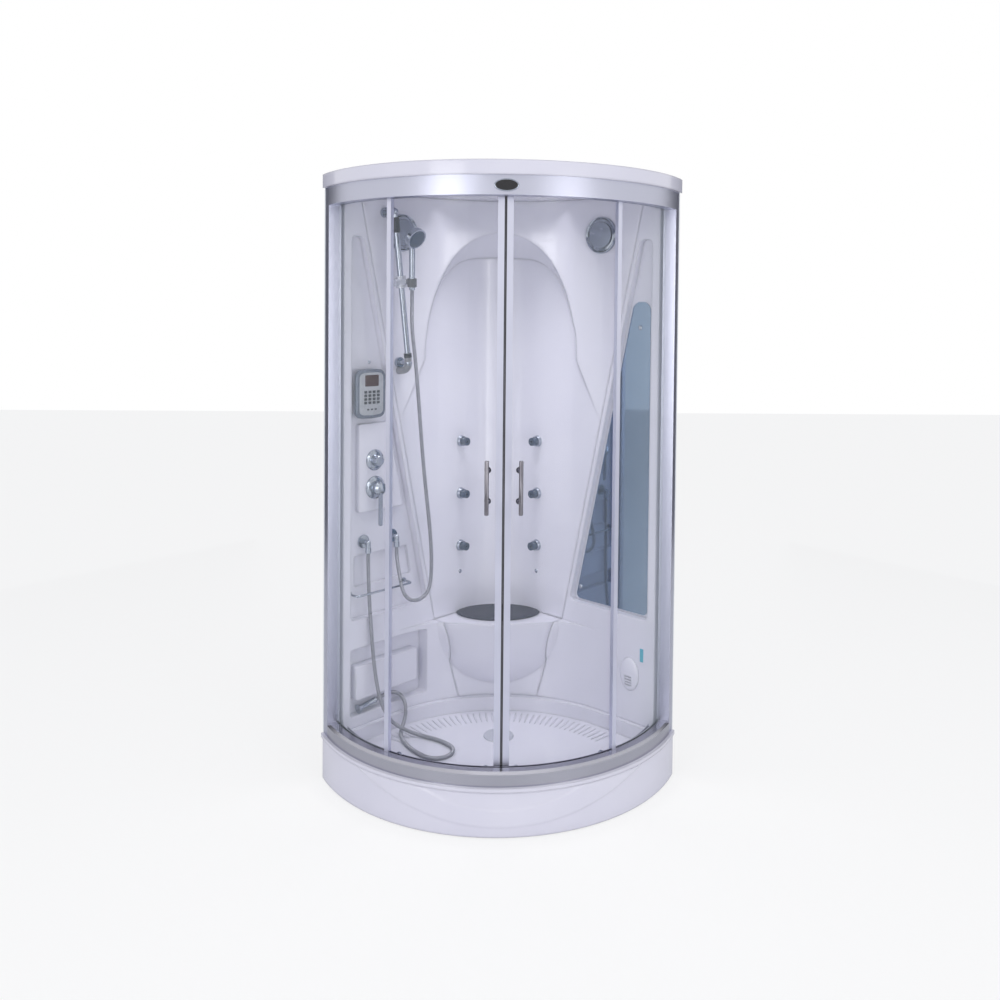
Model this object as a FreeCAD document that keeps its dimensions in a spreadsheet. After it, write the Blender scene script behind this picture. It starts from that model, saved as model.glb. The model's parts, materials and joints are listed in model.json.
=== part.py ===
import FreeCAD, Part
import math
import os
import Sketcher
from FreeCAD import Placement, Rotation, Vector

# Corner steam shower cabin with a quarter-round front.
# Frame: millimetres, +Z up, the front faces -Y, the room corner is at +Y.
# Two room walls meet at the corner, each at 45 degrees to the Y axis.
# On a wall, u runs along the wall from the room corner and n is the distance off the wall.

doc = FreeCAD.newDocument("SteamShowerCabin")

SIZES = {
    # Outline of the cabin
    "wall_length": 900,
    "front_radius": 696.4,
    "cabin_height": 2150,
    # Tray, apron, frame and feet
    "tray_height": 163,
    "tray_lip_depth": 14,
    "tray_wall": 5,
    "tray_floor_level": 110,
    "tray_wall_ledge": 72,
    "tray_front_ledge": 84,
    "basin_corner_radius": 550,
    "apron_wall": 5,
    "apron_floor_gap": 3,
    "crescent_step": 4,
    "crescent_low": 37,
    "crescent_low_radius": 1101,
    "crescent_high": 93,
    "crescent_high_radius": 651,
    "frame_tube": 30,
    "frame_wall_offset": 120,
    "frame_rear_end": 130,
    "frame_end_reach": 16.6,
    "frame_drain_gap": 37,
    "frame_spine_end": 960,
    "foot_pad_radius": 25,
    "foot_pad_height": 12,
    "foot_stud_radius": 6,
    "foot_rear": 175,
    "foot_front": 735,
    "foot_spine": 930,
    # Drain
    "drain_depth": 556,
    "drain_hole_radius": 44,
    "drain_cover_radius": 56,
    "drain_cover_height": 4,
    "drain_neck_radius": 40,
    "drain_neck_depth": 18,
    "trap_radius": 52,
    "trap_bottom": 28,
    "waste_radius": 20,
    "waste_level": 52,
    "waste_step": 1,
    "waste_spigot": 60,
    "waste_end_depth": 95,
    # Rails and wall channels
    "rail_setback": 10,
    "bottom_rail_height": 48,
    "bottom_rail_rise": 8,
    "top_rail_height": 62,
    "rail_skin": 3,
    "rail_end_angle": 62.6,
    "track_width": 9,
    "track_lip": 3,
    "track_lip_rise": 7,
    "track_depth": 31,
    "channel_depth": 45.4,
    "channel_end_angle": 65.9,
    # Glass and doors
    "glass_setback": 45,
    "glass_thickness": 6,
    "glass_slot_depth": 20,
    "slot_clearance": 0.3,
    "door_gap": 11,
    "door_slot_clearance": 6,
    "door_edge_angle": 37.4,
    "stile_angle": 35.4,
    "fixed_stile_width": 17,
    "fixed_stile_cover": 4.5,
    "centre_stile_width": 21,
    "outer_stile_width": 14,
    "door_stile_cover": 2.6,
    "magnet_width": 3.7,
    "magnet_gap": 0.6,
    "handle_angle": 4.6,
    "handle_height": 1118,
    "handle_length": 174,
    "handle_spacing": 100,
    "handle_radius": 7,
    "handle_reach": 44,
    "rosette_radius": 11,
    "rosette_height": 9,
    "standoff_radius": 5,
    # Rollers and hangers
    "wheel_radius": 11,
    "wheel_width": 7.6,
    "stud_radius": 3,
    "running_clearance": 0.05,
    "stud_hole_radius": 4,
    "stud_flange_radius": 8,
    "stud_flange_width": 2,
    "nut_radius": 7,
    "nut_width": 3,
    "guide_radius": 11,
    "wheel_near_angle": 4.6,
    "wheel_far_angle": 33.4,
    # Roof
    "roof_rim": 47,
    "roof_wall": 5,
    # Moulded back walls
    "panel_length": 845,
    "panel_standoff": 55,
    "panel_wall": 5,
    "corner_radius": 550,
    "alcove_radius": 150,
    "seat_level": 470,
    "belly_centre_depth": 150,
    "belly_reach": 246,
    "belly_half_width": 443,
    "belly_drop": 336,
    "arch_half_width": 290,
    "arch_spring_level": 1490,
    "arch_front_rise": 510,
    "arch_back_rise": 396,
    "arch_foot_half_width": 400,
    "arch_foot_level": 1200,
    "arch_front_depth": 340,
    "arch_back_depth": 130,
    "seam_gap": 0.6,
    "seam_inset": 18,
    # Slanted recess on each wall
    "recess_depth": 27,
    "recess_bottom": 555,
    "recess_top": 1940,
    "recess_foot": 446,
    "recess_head": 760,
    "recess_outer": 812,
    "recess_fillet": 18,
    # Storage pocket and niche on the left wall
    "pocket_inner": 462,
    "pocket_outer": 812,
    "pocket_bottom": 205,
    "pocket_top": 450,
    "pocket_depth": 30,
    "pocket_fillet": 10,
    "bin_inner": 500,
    "bin_outer": 792,
    "bin_bottom": 262,
    "bin_top": 385,
    "bin_front": 60,
    "niche_bottom": 668,
    "niche_height": 112,
    "niche_side": 34,
    "niche_depth": 12,
    "valve_pad_bottom": 940,
    "valve_pad_top": 1262,
    "valve_pad_outer": 772,
    "valve_pad_side": 30,
    "valve_pad_height": 18,
    # Seat pad
    "pad_half_width": 166,
    "pad_tip_depth": 252,
    "pad_back_depth": 160,
    "pad_front_depth": 353,
    "pad_height": 14,
    "pad_crown": 5,
    # Mirror
    "mirror_bottom": 563,
    "mirror_top": 1715,
    "mirror_outer": 794,
    "mirror_side": 12,
    "mirror_thickness": 4,
    "mirror_top_radius": 36,
    # Round covers
    "disc_along": 583,
    "disc_below_roof": 139,
    "disc_radius": 69.5,
    "disc_height": 11,
    "disc_ring_width": 9,
    "disc_body_radius": 46,
    "disc_body_depth": 34,
    "disc_hole_clearance": 1.5,
    # Steam outlet
    "steam_along": 737,
    "steam_level": 340,
    "steam_half_width": 42.5,
    "steam_half_height": 62,
    "steam_height": 12,
    "steam_pipe_radius": 9,
    "steam_slot_width": 30,
    "steam_slot_height": 4,
    "steam_slot_pitch": 10,
    # Control panel
    "control_along": 735,
    "control_level": 1373,
    "control_width": 132,
    "control_height": 180,
    "control_thickness": 15,
    "control_fillet": 14,
    "screen_width": 64,
    "screen_height": 41,
    "screen_rise": 48,
    "screen_recess": 2,
    # Shelf rail
    "shelf_inner": 545,
    "shelf_outer": 800,
    "shelf_level": 648,
    "shelf_reach": 78,
    "shelf_rod_radius": 4,
    "shelf_foot_radius": 10,
    "shelf_foot_height": 4,
    # Diverter and mixer
    "diverter_along": 701,
    "diverter_level": 1127,
    "diverter_plate_radius": 38.5,
    "diverter_knob_radius": 21.5,
    "diverter_knob_height": 26,
    "valve_plate_height": 8,
    "valve_stem_radius": 8,
    "valve_stem_height": 22,
    "valve_body_radius": 22,
    "valve_body_depth": 28,
    "mixer_along": 699,
    "mixer_level": 1026,
    "mixer_plate_radius": 42,
    "mixer_cap_radius": 25,
    "mixer_cap_height": 34,
    "lever_length": 122,
    "lever_width": 13,
    "lever_thickness": 9,
    "lever_axle_radius": 3,
    "lever_start": 15.5,
    "lever_axle_half_length": 12,
    "lever_slot_clearance": 0.5,
    "lever_slot_floor": 10,
    "lever_below_top": 8,
    # Hose elbows
    "foot_elbow_along": 739,
    "handset_elbow_along": 606,
    "elbow_level": 830,
    "elbow_plate_radius": 24,
    "elbow_plate_height": 7,
    "elbow_tube_radius": 9,
    "elbow_reach": 32,
    "elbow_nut_radius": 11,
    "elbow_nut_height": 18,
    "elbow_drop": 38,
    # Slide bar, slider, cradle and handset
    "bar_low_along": 598,
    "bar_low_level": 1482,
    "bar_high_along": 668,
    "bar_high_level": 2032,
    "bar_reach": 58,
    "bar_radius": 11,
    "bar_foot_radius": 19,
    "bar_foot_height": 12,
    "bar_arm_radius": 10,
    "bar_knee_radius": 14,
    "slider_place": 300,
    "slider_radius": 19,
    "slider_height": 42,
    "slider_arm_reach": 14,
    "fork_width": 24,
    "fork_cheek": 3,
    "fork_radius": 9,
    "fork_clearance": 1,
    "slider_knob_radius": 14,
    "slider_knob_reach": 32,
    "cradle_radius": 17,
    "cradle_height": 30,
    "cradle_reach": 28,
    "handle_grip_radius": 11,
    "grip_below": 26,
    "grip_above": 128,
    "handset_lean": 8,
    "head_radius": 39,
    "head_thickness": 24,
    "head_rise": 165,
    "head_forward": 12,
    "head_tilt": 24,
    "fit_gap": 0.3,
    # Hoses
    "hose_radius": 7,
    "sprayer_along": 690,
    "sprayer_off": 45.5,
    "sprayer_level": 235.2,
    "sprayer_radius": 10,
    "sprayer_length": 62,
    "sprayer_head_radius": 17,
    "sprayer_head_length": 20,
    # Jets
    "jet_along": 271,
    "jet_top_level": 1157,
    "jet_pitch": 209.5,
    "jet_plate_radius": 23,
    "jet_plate_height": 14,
    "jet_ball_radius": 16.5,
    "jet_ball_rise": 2,
    "jet_nose_radius": 12,
    "jet_nose_length": 20,
    "jet_face_radius": 16,
    "jet_face_height": 7,
    "jet_bore_radius": 4,
    # Behind the walls
    "generator_along": 690,
    "generator_level": 760,
    "generator_width": 190,
    "generator_height": 330,
    "generator_depth": 17,
    "generator_standoff": 2,
    "pipe_radius": 6,
    "pipe_offset": 12,
    "pipe_bend": 16,
    "inlet_offset": 26,
    "inlet_radius": 10.5,
    "inlet_length": 14,
    "inlet_wall_gap": 0.5,
    "inlet_level": 880,
    "hot_inlet_along": 478,
    "cold_inlet_along": 430,
}

sheet = doc.addObject("Spreadsheet::Sheet", "Sizes")
for row, (name, number) in enumerate(SIZES.items(), start=1):
    sheet.set(f"A{row}", name)
    sheet.set(f"B{row}", str(number))
    sheet.setAlias(f"B{row}", name)
doc.recompute()


class Dim:
    """A size with the spreadsheet expression that it comes from."""

    def __init__(self, value, text):
        self.value = float(value)
        self.text = text

    def __float__(self):
        return self.value

    def __add__(self, other):
        other = as_dim(other)
        return Dim(self.value + other.value, f"({self.text} + {other.text})")

    def __radd__(self, other):
        return as_dim(other) + self

    def __sub__(self, other):
        other = as_dim(other)
        return Dim(self.value - other.value, f"({self.text} - {other.text})")

    def __rsub__(self, other):
        return as_dim(other) - self

    def __mul__(self, other):
        other = as_dim(other)
        return Dim(self.value * other.value, f"({self.text} * {other.text})")

    def __rmul__(self, other):
        return as_dim(other) * self

    def __truediv__(self, other):
        other = as_dim(other)
        return Dim(self.value / other.value, f"({self.text} / {other.text})")

    def __rtruediv__(self, other):
        return as_dim(other) / self

    def __neg__(self):
        return Dim(-self.value, f"(0 - {self.text})")


def as_dim(number):
    """A plain number as a Dim."""
    return number if isinstance(number, Dim) else Dim(number, f"{float(number):.9f}")


def root(size):
    """Square root of a Dim."""
    return Dim(math.sqrt(size.value), f"sqrt({size.text})")


def sine(angle):
    """Sine of a Dim in degrees."""
    return Dim(math.sin(math.radians(angle.value)), f"sin({angle.text})")


def cosine(angle):
    """Cosine of a Dim in degrees."""
    return Dim(math.cos(math.radians(angle.value)), f"cos({angle.text})")


class Sizes:
    """Reads the spreadsheet: each alias is an attribute."""

    def __getattr__(self, name):
        return Dim(getattr(sheet, name), f"Sizes.{name}")


s = Sizes()

# The front is one arc through both wall ends, about an upright axis on the Y axis.
half_width = s.wall_length / root(as_dim(2))
arc_depth = half_width - root(s.front_radius * s.front_radius - half_width * half_width)
front_depth = arc_depth + s.front_radius
corner_y = front_depth / 2
arc_y = corner_y - arc_depth

AXIS = Placement(Vector(0, float(arc_y), 0), Rotation())
CORNER = Placement(Vector(0, float(corner_y), 0), Rotation())
RIGHT = Placement(Vector(0, float(corner_y), 0), Rotation(Vector(0, 0, 1), -45))
LEFT = Placement(Vector(0, float(corner_y), 0), Rotation(Vector(0, 0, 1), 45))
SIDES = {"left": (LEFT, -1), "right": (RIGHT, 1)}

PARTS = {}


def on_wall(side, along, off, level, turn=Rotation()):
    """Frame on a wall: X along it to the right as seen from inside, Y into it, Z up."""
    wall, sign = SIDES[side]
    return wall * Placement(Vector(sign * float(along), -float(off), float(level)), turn)


def facing(side, along, off, level):
    """Frame on a wall whose X is to the right, Y up and Z out of the wall into the cabin."""
    return on_wall(side, along, off, level, Rotation(Vector(1, 0, 0), 90))


def at_front(angle, radius, level):
    """Frame on the front arc: X outward, Y along the arc to the right, Z up."""
    turn = Rotation(Vector(0, 0, 1), float(angle) - 90)
    return AXIS * Placement(Vector(), turn) * Placement(Vector(float(radius), 0, float(level)), Rotation())


def keep(feature, label):
    """Name a finished sub-part and list it for export."""
    feature.Label = label
    PARTS[label] = feature
    return feature


def new_body(label, placement=Placement()):
    body = doc.addObject("PartDesign::Body", label)
    body.Placement = placement
    return keep(body, label)


def origin_plane(body, role):
    for feature in body.Origin.OriginFeatures:
        if feature.Role == role:
            return feature
    raise RuntimeError(f"{body.Label} has no {role}")


def new_sketch(body, role, name):
    sketch = body.newObject("Sketcher::SketchObject", f"{body.Name}_{name}")
    sketch.AttachmentSupport = [(origin_plane(body, role), "")]
    sketch.MapMode = "FlatFace"
    return sketch


def draw_polygon(sketch, points):
    """A closed outline whose every corner is held by two sheet-driven distances."""
    first = sketch.GeometryCount
    places = [Vector(float(x), float(y), 0) for x, y in points]
    for index, place in enumerate(places):
        sketch.addGeometry(Part.LineSegment(place, places[(index + 1) % len(places)]), False)
    for index in range(len(points)):
        following = first + (index + 1) % len(points)
        sketch.addConstraint(Sketcher.Constraint("Coincident", first + index, 2, following, 1))
    for index, point in enumerate(points):
        for kind, size in zip(("DistanceX", "DistanceY"), point):
            size = as_dim(size)
            number = sketch.addConstraint(
                Sketcher.Constraint(kind, -1, 1, first + index, 1, size.value))
            sketch.setExpression(f"Constraints[{number}]", size.text)


def draw_circle(sketch, x, y, radius):
    """A circle held by its centre and radius."""
    x, y, radius = as_dim(x), as_dim(y), as_dim(radius)
    circle = Part.Circle(Vector(x.value, y.value, 0), Vector(0, 0, 1), radius.value)
    index = sketch.addGeometry(circle, False)
    for kind, size in (("DistanceX", x), ("DistanceY", y)):
        number = sketch.addConstraint(Sketcher.Constraint(kind, -1, 1, index, 3, size.value))
        sketch.setExpression(f"Constraints[{number}]", size.text)
    number = sketch.addConstraint(Sketcher.Constraint("Radius", index, radius.value))
    sketch.setExpression(f"Constraints[{number}]", radius.text)


def bind(feature, **sizes):
    """Set properties and tie them to the sheet."""
    for name, size in sizes.items():
        size = as_dim(size)
        setattr(feature, name, size.value)
        feature.setExpression(name, size.text)


def volume_of(body):
    doc.recompute()
    return body.Shape.Volume


def turn(body, outlines, sweep=360, groove=False):
    """Turn outlines drawn in radius and height about the body's Z axis."""
    before = volume_of(body) if groove else 0
    kind = "Groove" if groove else "Revolution"
    sketch = new_sketch(body, "XZ_Plane", f"Profile{len(body.Group)}")
    for outline in outlines:
        draw_polygon(sketch, outline)
    feature = body.newObject(f"PartDesign::{kind}", f"{body.Name}_{kind}{len(body.Group)}")
    feature.Profile = sketch
    feature.ReferenceAxis = (sketch, ["V_Axis"])
    bind(feature, Angle=sweep)
    sketch.Visibility = False
    if groove and volume_of(body) >= before:
        raise RuntimeError(f"{body.Label}: groove cut nothing")
    return feature


def pad(body, shapes, length, role="XY_Plane", reversed_way=False):
    """Pad polygons and circles: each shape is a list of corners, or (x, y, radius)."""
    sketch = new_sketch(body, role, f"Outline{len(body.Group)}")
    draw(sketch, shapes)
    feature = body.newObject("PartDesign::Pad", f"{body.Name}_Pad{len(body.Group)}")
    feature.Profile = sketch
    bind(feature, Length=length)
    feature.Reversed = reversed_way
    return feature


def pocket(body, shapes, length, role="XY_Plane", reversed_way=True, level=0):
    """Cut polygons and circles out of the body, and check that something went."""
    before = volume_of(body)
    sketch = new_sketch(body, role, f"Cut{len(body.Group)}")
    draw(sketch, shapes)
    if float(level):
        level = as_dim(level)
        sketch.AttachmentOffset = Placement(Vector(0, 0, level.value), Rotation())
        sketch.setExpression("AttachmentOffset.Base.z", level.text)
    feature = body.newObject("PartDesign::Pocket", f"{body.Name}_Pocket{len(body.Group)}")
    feature.Profile = sketch
    bind(feature, Length=length)
    feature.Reversed = reversed_way
    if volume_of(body) >= before:
        raise RuntimeError(f"{body.Label}: pocket cut nothing")
    return feature


def draw(sketch, shapes):
    for shape in shapes:
        if isinstance(shape, tuple):
            draw_circle(sketch, *shape)
        else:
            draw_polygon(sketch, shape)


def fillet(body, radius, chosen):
    """Round the edges of the body's tip that chosen(edge) picks."""
    doc.recompute()
    tip = body.Tip
    names = [f"Edge{i + 1}" for i, edge in enumerate(tip.Shape.Edges) if chosen(edge)]
    feature = body.newObject("PartDesign::Fillet", f"{body.Name}_Fillet{len(body.Group)}")
    feature.Base = (tip, names)
    bind(feature, Radius=radius)
    return feature


def upright(edge):
    """True for a straight edge along Z."""
    ends = [vertex.Point for vertex in edge.Vertexes]
    if len(ends) != 2:
        return False
    run = ends[1] - ends[0]
    return abs(run.z) > 1e-6 and math.hypot(run.x, run.y) < 1e-6


def at_height(height):
    """Chooses edges that lie flat at a height of the body."""
    def chosen(edge):
        box = edge.BoundBox
        return abs(box.ZMin - float(height)) < 1e-6 and abs(box.ZMax - float(height)) < 1e-6
    return chosen


def box_outline(x0, x1, y0, y1):
    return [(x0, y0), (x1, y0), (x1, y1), (x0, y1)]


def sector(label, outlines, start, end):
    """A bar bent along the front arc, from one angle to another, 0 at the front."""
    placement = AXIS * Placement(Vector(), Rotation(Vector(0, 0, 1), float(start) - 90))
    body = new_body(label, placement)
    turn(body, outlines, end - start)
    return body


def shape_part(label, shape, placement=Placement()):
    """A sub-part shaped by Part functions from the sheet's sizes."""
    feature = doc.addObject("Part::Feature", label)
    feature.Shape = shape
    feature.Placement = placement * shape.Placement
    return keep(feature, label)


# Solids made by Part functions, in millimetres from the sheet.

def cylinder(radius, height, base=Vector(), direction=Vector(0, 0, 1)):
    return Part.makeCylinder(float(radius), float(height), base, direction)


def slab(x0, x1, y0, y1, z0, z1):
    low = Vector(float(x0), float(y0), float(z0))
    return Part.makeBox(float(x1) - low.x, float(y1) - low.y, float(z1) - low.z, low)


def fused(shapes):
    """One solid out of shapes that meet."""
    return shapes[0].multiFuse(shapes[1:]).removeSplitter()


def group(shapes):
    """Separate solids kept as one node."""
    return Part.makeCompound(shapes)


def placed(shape, placement):
    shape = shape.copy()
    shape.Placement = placement * shape.Placement
    return shape


def wall_square(inset, length, z0, z1, radius=0):
    """Square block in the room corner, set off both walls, with its corner edge rounded."""
    inset, length, radius = float(inset), float(length), float(radius)
    block = Part.makeBox(length, length, float(z1) - float(z0), Vector(inset, inset, float(z0)))
    if radius:
        edges = [edge for edge in block.Edges if upright(edge)
                 and math.hypot(edge.Vertexes[0].X - inset, edge.Vertexes[0].Y - inset) < 1e-6]
        block = block.makeFillet(radius, edges)
    return placed(block, CORNER * Placement(Vector(), Rotation(Vector(0, 0, 1), -135)))


def quadrant(wall_inset, front_inset, z0, z1, radius=0):
    """Plan of the cabin between two levels, set in from the walls and from the front arc."""
    drum = cylinder(s.front_radius - front_inset, float(z1) - float(z0), Vector(0, float(arc_y), float(z0)))
    return drum.common(wall_square(wall_inset, s.wall_length * 2, z0, z1, radius))


# Levels and radii that several parts share
rail_outer = s.front_radius - s.rail_setback
glass_outer = s.front_radius - s.glass_setback
glass_inner = glass_outer - s.glass_thickness
door_outer = glass_outer - s.glass_thickness - s.door_gap
door_inner = door_outer - s.glass_thickness
track_lip_outer = door_inner - s.door_slot_clearance + 1.6
track_outer = track_lip_outer - s.track_lip
track_inner = track_outer - s.track_width
rail_inner = track_inner - s.rail_skin
block_inner = glass_inner - s.fixed_stile_cover
roof_level = s.cabin_height - s.roof_rim
top_rail_level = roof_level - s.top_rail_height
bottom_rail_top = s.tray_height + s.bottom_rail_height
glass_bottom = bottom_rail_top - s.glass_slot_depth
glass_top = top_rail_level + s.glass_slot_depth
bottom_track = s.tray_height + s.rail_skin * 5
top_track = roof_level - s.rail_skin - s.track_depth
door_bottom = bottom_track + 1
door_top = roof_level - s.rail_skin - s.door_slot_clearance
wheel_level = top_track + s.wheel_radius + s.fit_gap
guide_level = bottom_track + s.guide_radius + s.fit_gap
recess_face = s.panel_standoff - s.recess_depth
frame_cross_depth = s.drain_depth + s.trap_radius + s.frame_drain_gap + s.frame_tube / 2
frame_front_end = frame_cross_depth * root(as_dim(2)) - s.frame_wall_offset + s.frame_end_reach
disc_level = roof_level - s.disc_below_roof


# Tray, apron, frame, feet and drain
def make_tray():
    lip_bottom = s.tray_height - s.tray_lip_depth
    underside = s.tray_height - s.tray_wall
    floor_underside = s.tray_floor_level - s.tray_wall
    rim = quadrant(0, 0, lip_bottom, s.tray_height)
    hollow = quadrant(s.tray_wall, s.tray_wall, lip_bottom - 1, underside)
    pan = quadrant(s.tray_wall_ledge - s.tray_wall, s.tray_front_ledge - s.tray_wall,
                   floor_underside, s.tray_height, s.basin_corner_radius + s.tray_wall)
    basin = quadrant(s.tray_wall_ledge, s.tray_front_ledge, s.tray_floor_level,
                     s.tray_height + 1, s.basin_corner_radius)
    drain = CORNER * Placement(Vector(0, -float(s.drain_depth), 0), Rotation())
    hole = placed(cylinder(s.drain_hole_radius, s.tray_height), drain)
    shape = rim.cut(hollow).fuse(pan).cut(basin).cut(hole).removeSplitter()
    return shape_part("tray", shape)


def make_apron():
    top = s.tray_height - s.tray_lip_depth - s.fit_gap
    centre = Vector(0, float(arc_y), float(s.apron_floor_gap))
    height = top - s.apron_floor_gap
    base_outer = s.front_radius - s.crescent_step
    base_inner = base_outer - s.apron_wall
    raised = cylinder(s.front_radius, height, centre).cut(cylinder(base_inner, height, centre))
    low_centre = Vector(0, 0, float(s.crescent_low + s.crescent_low_radius))
    high_centre = Vector(0, 0, float(s.crescent_high + s.crescent_high_radius))
    forward = Vector(0, -1, 0)
    band = cylinder(s.crescent_low_radius, s.front_radius * 2, low_centre, forward)
    band = band.cut(cylinder(s.crescent_high_radius, s.front_radius * 2, high_centre, forward))
    skin = cylinder(base_outer, height, centre).cut(cylinder(base_inner, height, centre))
    shape = skin.fuse(raised.common(band)).removeSplitter()
    corner_room = wall_square(0, s.wall_length * 2, 0, s.tray_height)
    front_half = slab(-half_width, half_width, -s.front_radius * 2, corner_y - half_width + 40,
                      0, s.tray_height)
    return shape_part("front_apron", shape.common(corner_room).common(front_half))


def make_frame():
    top = s.tray_floor_level - s.tray_wall - s.fit_gap
    half = s.frame_tube / 2
    tubes = []
    for side in SIDES:
        sign = SIDES[side][1]
        ends = sorted((sign * float(s.frame_rear_end), sign * float(frame_front_end)))
        bar = slab(ends[0], ends[1], -s.frame_wall_offset - half, -s.frame_wall_offset + half,
                   top - s.frame_tube, top)
        tubes.append(placed(bar, SIDES[side][0]))
    reach = frame_cross_depth - s.frame_wall_offset * root(as_dim(2))
    tubes.append(placed(slab(-reach, reach, -frame_cross_depth - half, -frame_cross_depth + half,
                             top - s.frame_tube, top), CORNER))
    tubes.append(placed(slab(-half, half, -s.frame_spine_end, -frame_cross_depth,
                             top - s.frame_tube, top), CORNER))
    return shape_part("tray_frame", fused(tubes))


def make_feet():
    stud_top = s.tray_floor_level - s.tray_wall - s.fit_gap - s.frame_tube
    foot = fused([cylinder(s.foot_pad_radius, s.foot_pad_height), cylinder(s.foot_stud_radius, stud_top)])
    places = [on_wall(side, along, s.frame_wall_offset, 0)
              for side in SIDES for along in (s.foot_rear, s.foot_front)]
    places.append(CORNER * Placement(Vector(0, -float(s.foot_spine), 0), Rotation()))
    return shape_part("tray_feet", group([placed(foot, place) for place in places]))


def make_drain():
    drain = CORNER * Placement(Vector(0, -float(s.drain_depth), float(s.tray_floor_level)), Rotation())
    cover = new_body("drain_cover", drain)
    low = s.fit_gap
    high = s.fit_gap + s.drain_cover_height
    neck_inner = s.drain_neck_radius - s.rail_skin
    turn(cover, [[(0, low), (neck_inner, low), (neck_inner, -s.drain_neck_depth),
                  (s.drain_neck_radius, -s.drain_neck_depth), (s.drain_neck_radius, low),
                  (s.drain_cover_radius, low), (s.drain_cover_radius - 2, high), (0, high)]])
    trap_top = s.tray_floor_level - s.tray_wall - s.fit_gap
    wall = s.rail_skin
    cup = cylinder(s.trap_radius, trap_top - s.trap_bottom, Vector(0, 0, float(s.trap_bottom)))
    cup = cup.cut(cylinder(s.trap_radius - wall, trap_top - s.trap_bottom,
                           Vector(0, 0, float(s.trap_bottom + wall))))
    length = s.drain_depth - s.waste_end_depth
    start = Vector(0, float(s.trap_radius - wall), float(s.waste_level))
    pipe = cylinder(s.waste_radius - s.waste_step, length - s.trap_radius + wall, start,
                    Vector(0, 1, 0))
    mouth = Vector(0, float(length - s.waste_spigot), float(s.waste_level))
    spigot = cylinder(s.waste_radius, s.waste_spigot, mouth, Vector(0, 1, 0))
    bore = cylinder(s.waste_radius - wall, length, start - Vector(0, float(wall), 0), Vector(0, 1, 0))
    trap = cup.fuse([pipe, spigot]).cut(bore)
    trap_place = CORNER * Placement(Vector(0, -float(s.drain_depth), 0), Rotation())
    shape_part("drain_trap", trap.removeSplitter(), trap_place)


# Rails, wall channels, glass and doors
def make_rails():
    skin = s.rail_skin
    bottom_shoulder = bottom_rail_top - s.bottom_rail_rise
    slot_outer = glass_outer + s.slot_clearance
    slot_inner = glass_inner - s.slot_clearance
    slot_floor = glass_bottom - s.slot_clearance
    bottom = [
        (rail_outer, s.tray_height), (rail_outer, bottom_shoulder),
        (rail_outer - s.bottom_rail_rise, bottom_rail_top), (slot_outer, bottom_rail_top),
        (slot_outer, slot_floor), (slot_inner, slot_floor), (slot_inner, bottom_rail_top),
        (block_inner, bottom_rail_top), (block_inner, s.tray_height + skin * 2),
        (track_lip_outer, s.tray_height + skin * 2), (track_lip_outer, bottom_track + s.track_lip_rise),
        (track_outer, bottom_track + s.track_lip_rise), (track_outer, bottom_track),
        (track_inner, bottom_track), (track_inner, bottom_track + s.track_lip_rise),
        (rail_inner, bottom_track + s.track_lip_rise), (rail_inner, s.tray_height),
    ]
    bottom_void = box_outline(slot_outer + skin, rail_outer - skin, s.tray_height + skin,
                              bottom_shoulder - skin)
    sector("bottom_rail", [bottom, bottom_void], -s.rail_end_angle, s.rail_end_angle)
    ceiling = roof_level - skin
    slot_roof = glass_top + s.slot_clearance
    top = [
        (rail_outer, top_rail_level), (rail_outer, roof_level), (rail_inner, roof_level),
        (rail_inner, top_track - skin), (track_lip_outer, top_track - skin),
        (track_lip_outer, top_track + s.track_lip_rise), (track_outer, top_track + s.track_lip_rise),
        (track_outer, top_track), (track_inner, top_track), (track_inner, ceiling),
        (block_inner, ceiling), (block_inner, top_rail_level), (slot_inner, top_rail_level),
        (slot_inner, slot_roof), (slot_outer, slot_roof), (slot_outer, top_rail_level),
    ]
    top_void = box_outline(slot_outer + skin, rail_outer - skin, top_rail_level + skin, ceiling)
    sector("top_rail", [top, top_void], -s.rail_end_angle, s.rail_end_angle)


def channel_section():
    """Corners of a wall channel's outline: inner and outer radius."""
    return rail_outer - s.channel_depth, rail_outer


def make_channels():
    inner, outer = channel_section()
    skin = float(s.rail_skin)
    height = roof_level - s.tray_height
    solids = []
    for sign in (-1, 1):
        angles = sorted((sign * float(s.rail_end_angle), sign * float(s.channel_end_angle)))
        shape = ring_piece(inner, outer, s.tray_height, height, *angles)
        margin = math.degrees(skin / float(outer))
        core = ring_piece(inner + skin, outer - skin, s.tray_height, height,
                          angles[0] + margin, angles[1] - margin)
        solids.append(shape.cut(core))
    shape_part("wall_channels", group(solids))


def ring_piece(inner, outer, level, height, start, end):
    """Block between two radii and two angles of the front arc."""
    inner, outer, level, height = (float(v) for v in (inner, outer, level, height))
    sweep = float(end) - float(start)
    tube = Part.makeCylinder(outer, height, Vector(0, 0, level), Vector(0, 0, 1), sweep)
    tube = tube.cut(Part.makeCylinder(inner, height, Vector(0, 0, level)))
    return placed(tube, AXIS * Placement(Vector(), Rotation(Vector(0, 0, 1), float(start) - 90)))


def make_wall_seals():
    """Rubber wedge between each wall channel and the room wall."""
    inner, outer = channel_section()
    angle = s.channel_end_angle + 0.03
    solids = []
    for side in SIDES:
        wall, sign = SIDES[side]
        corners = []
        for radius in (inner, outer):
            x = radius * sine(angle)
            depth = arc_depth + radius * cosine(angle)
            corners.append((float((x + depth) / root(as_dim(2))), float((depth - x) / root(as_dim(2)))))
        (u0, n0), (u1, n1) = corners
        outline = [(u0, 0), (u1, 0), (u1, n1), (u0, n0)]
        points = [Vector(sign * u, -n, float(s.tray_height)) for u, n in outline]
        face = Part.Face(Part.makePolygon(points + points[:1]))
        solids.append(placed(face.extrude(Vector(0, 0, float(roof_level - s.tray_height))), wall))
    shape_part("wall_seals", group(solids))


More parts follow.
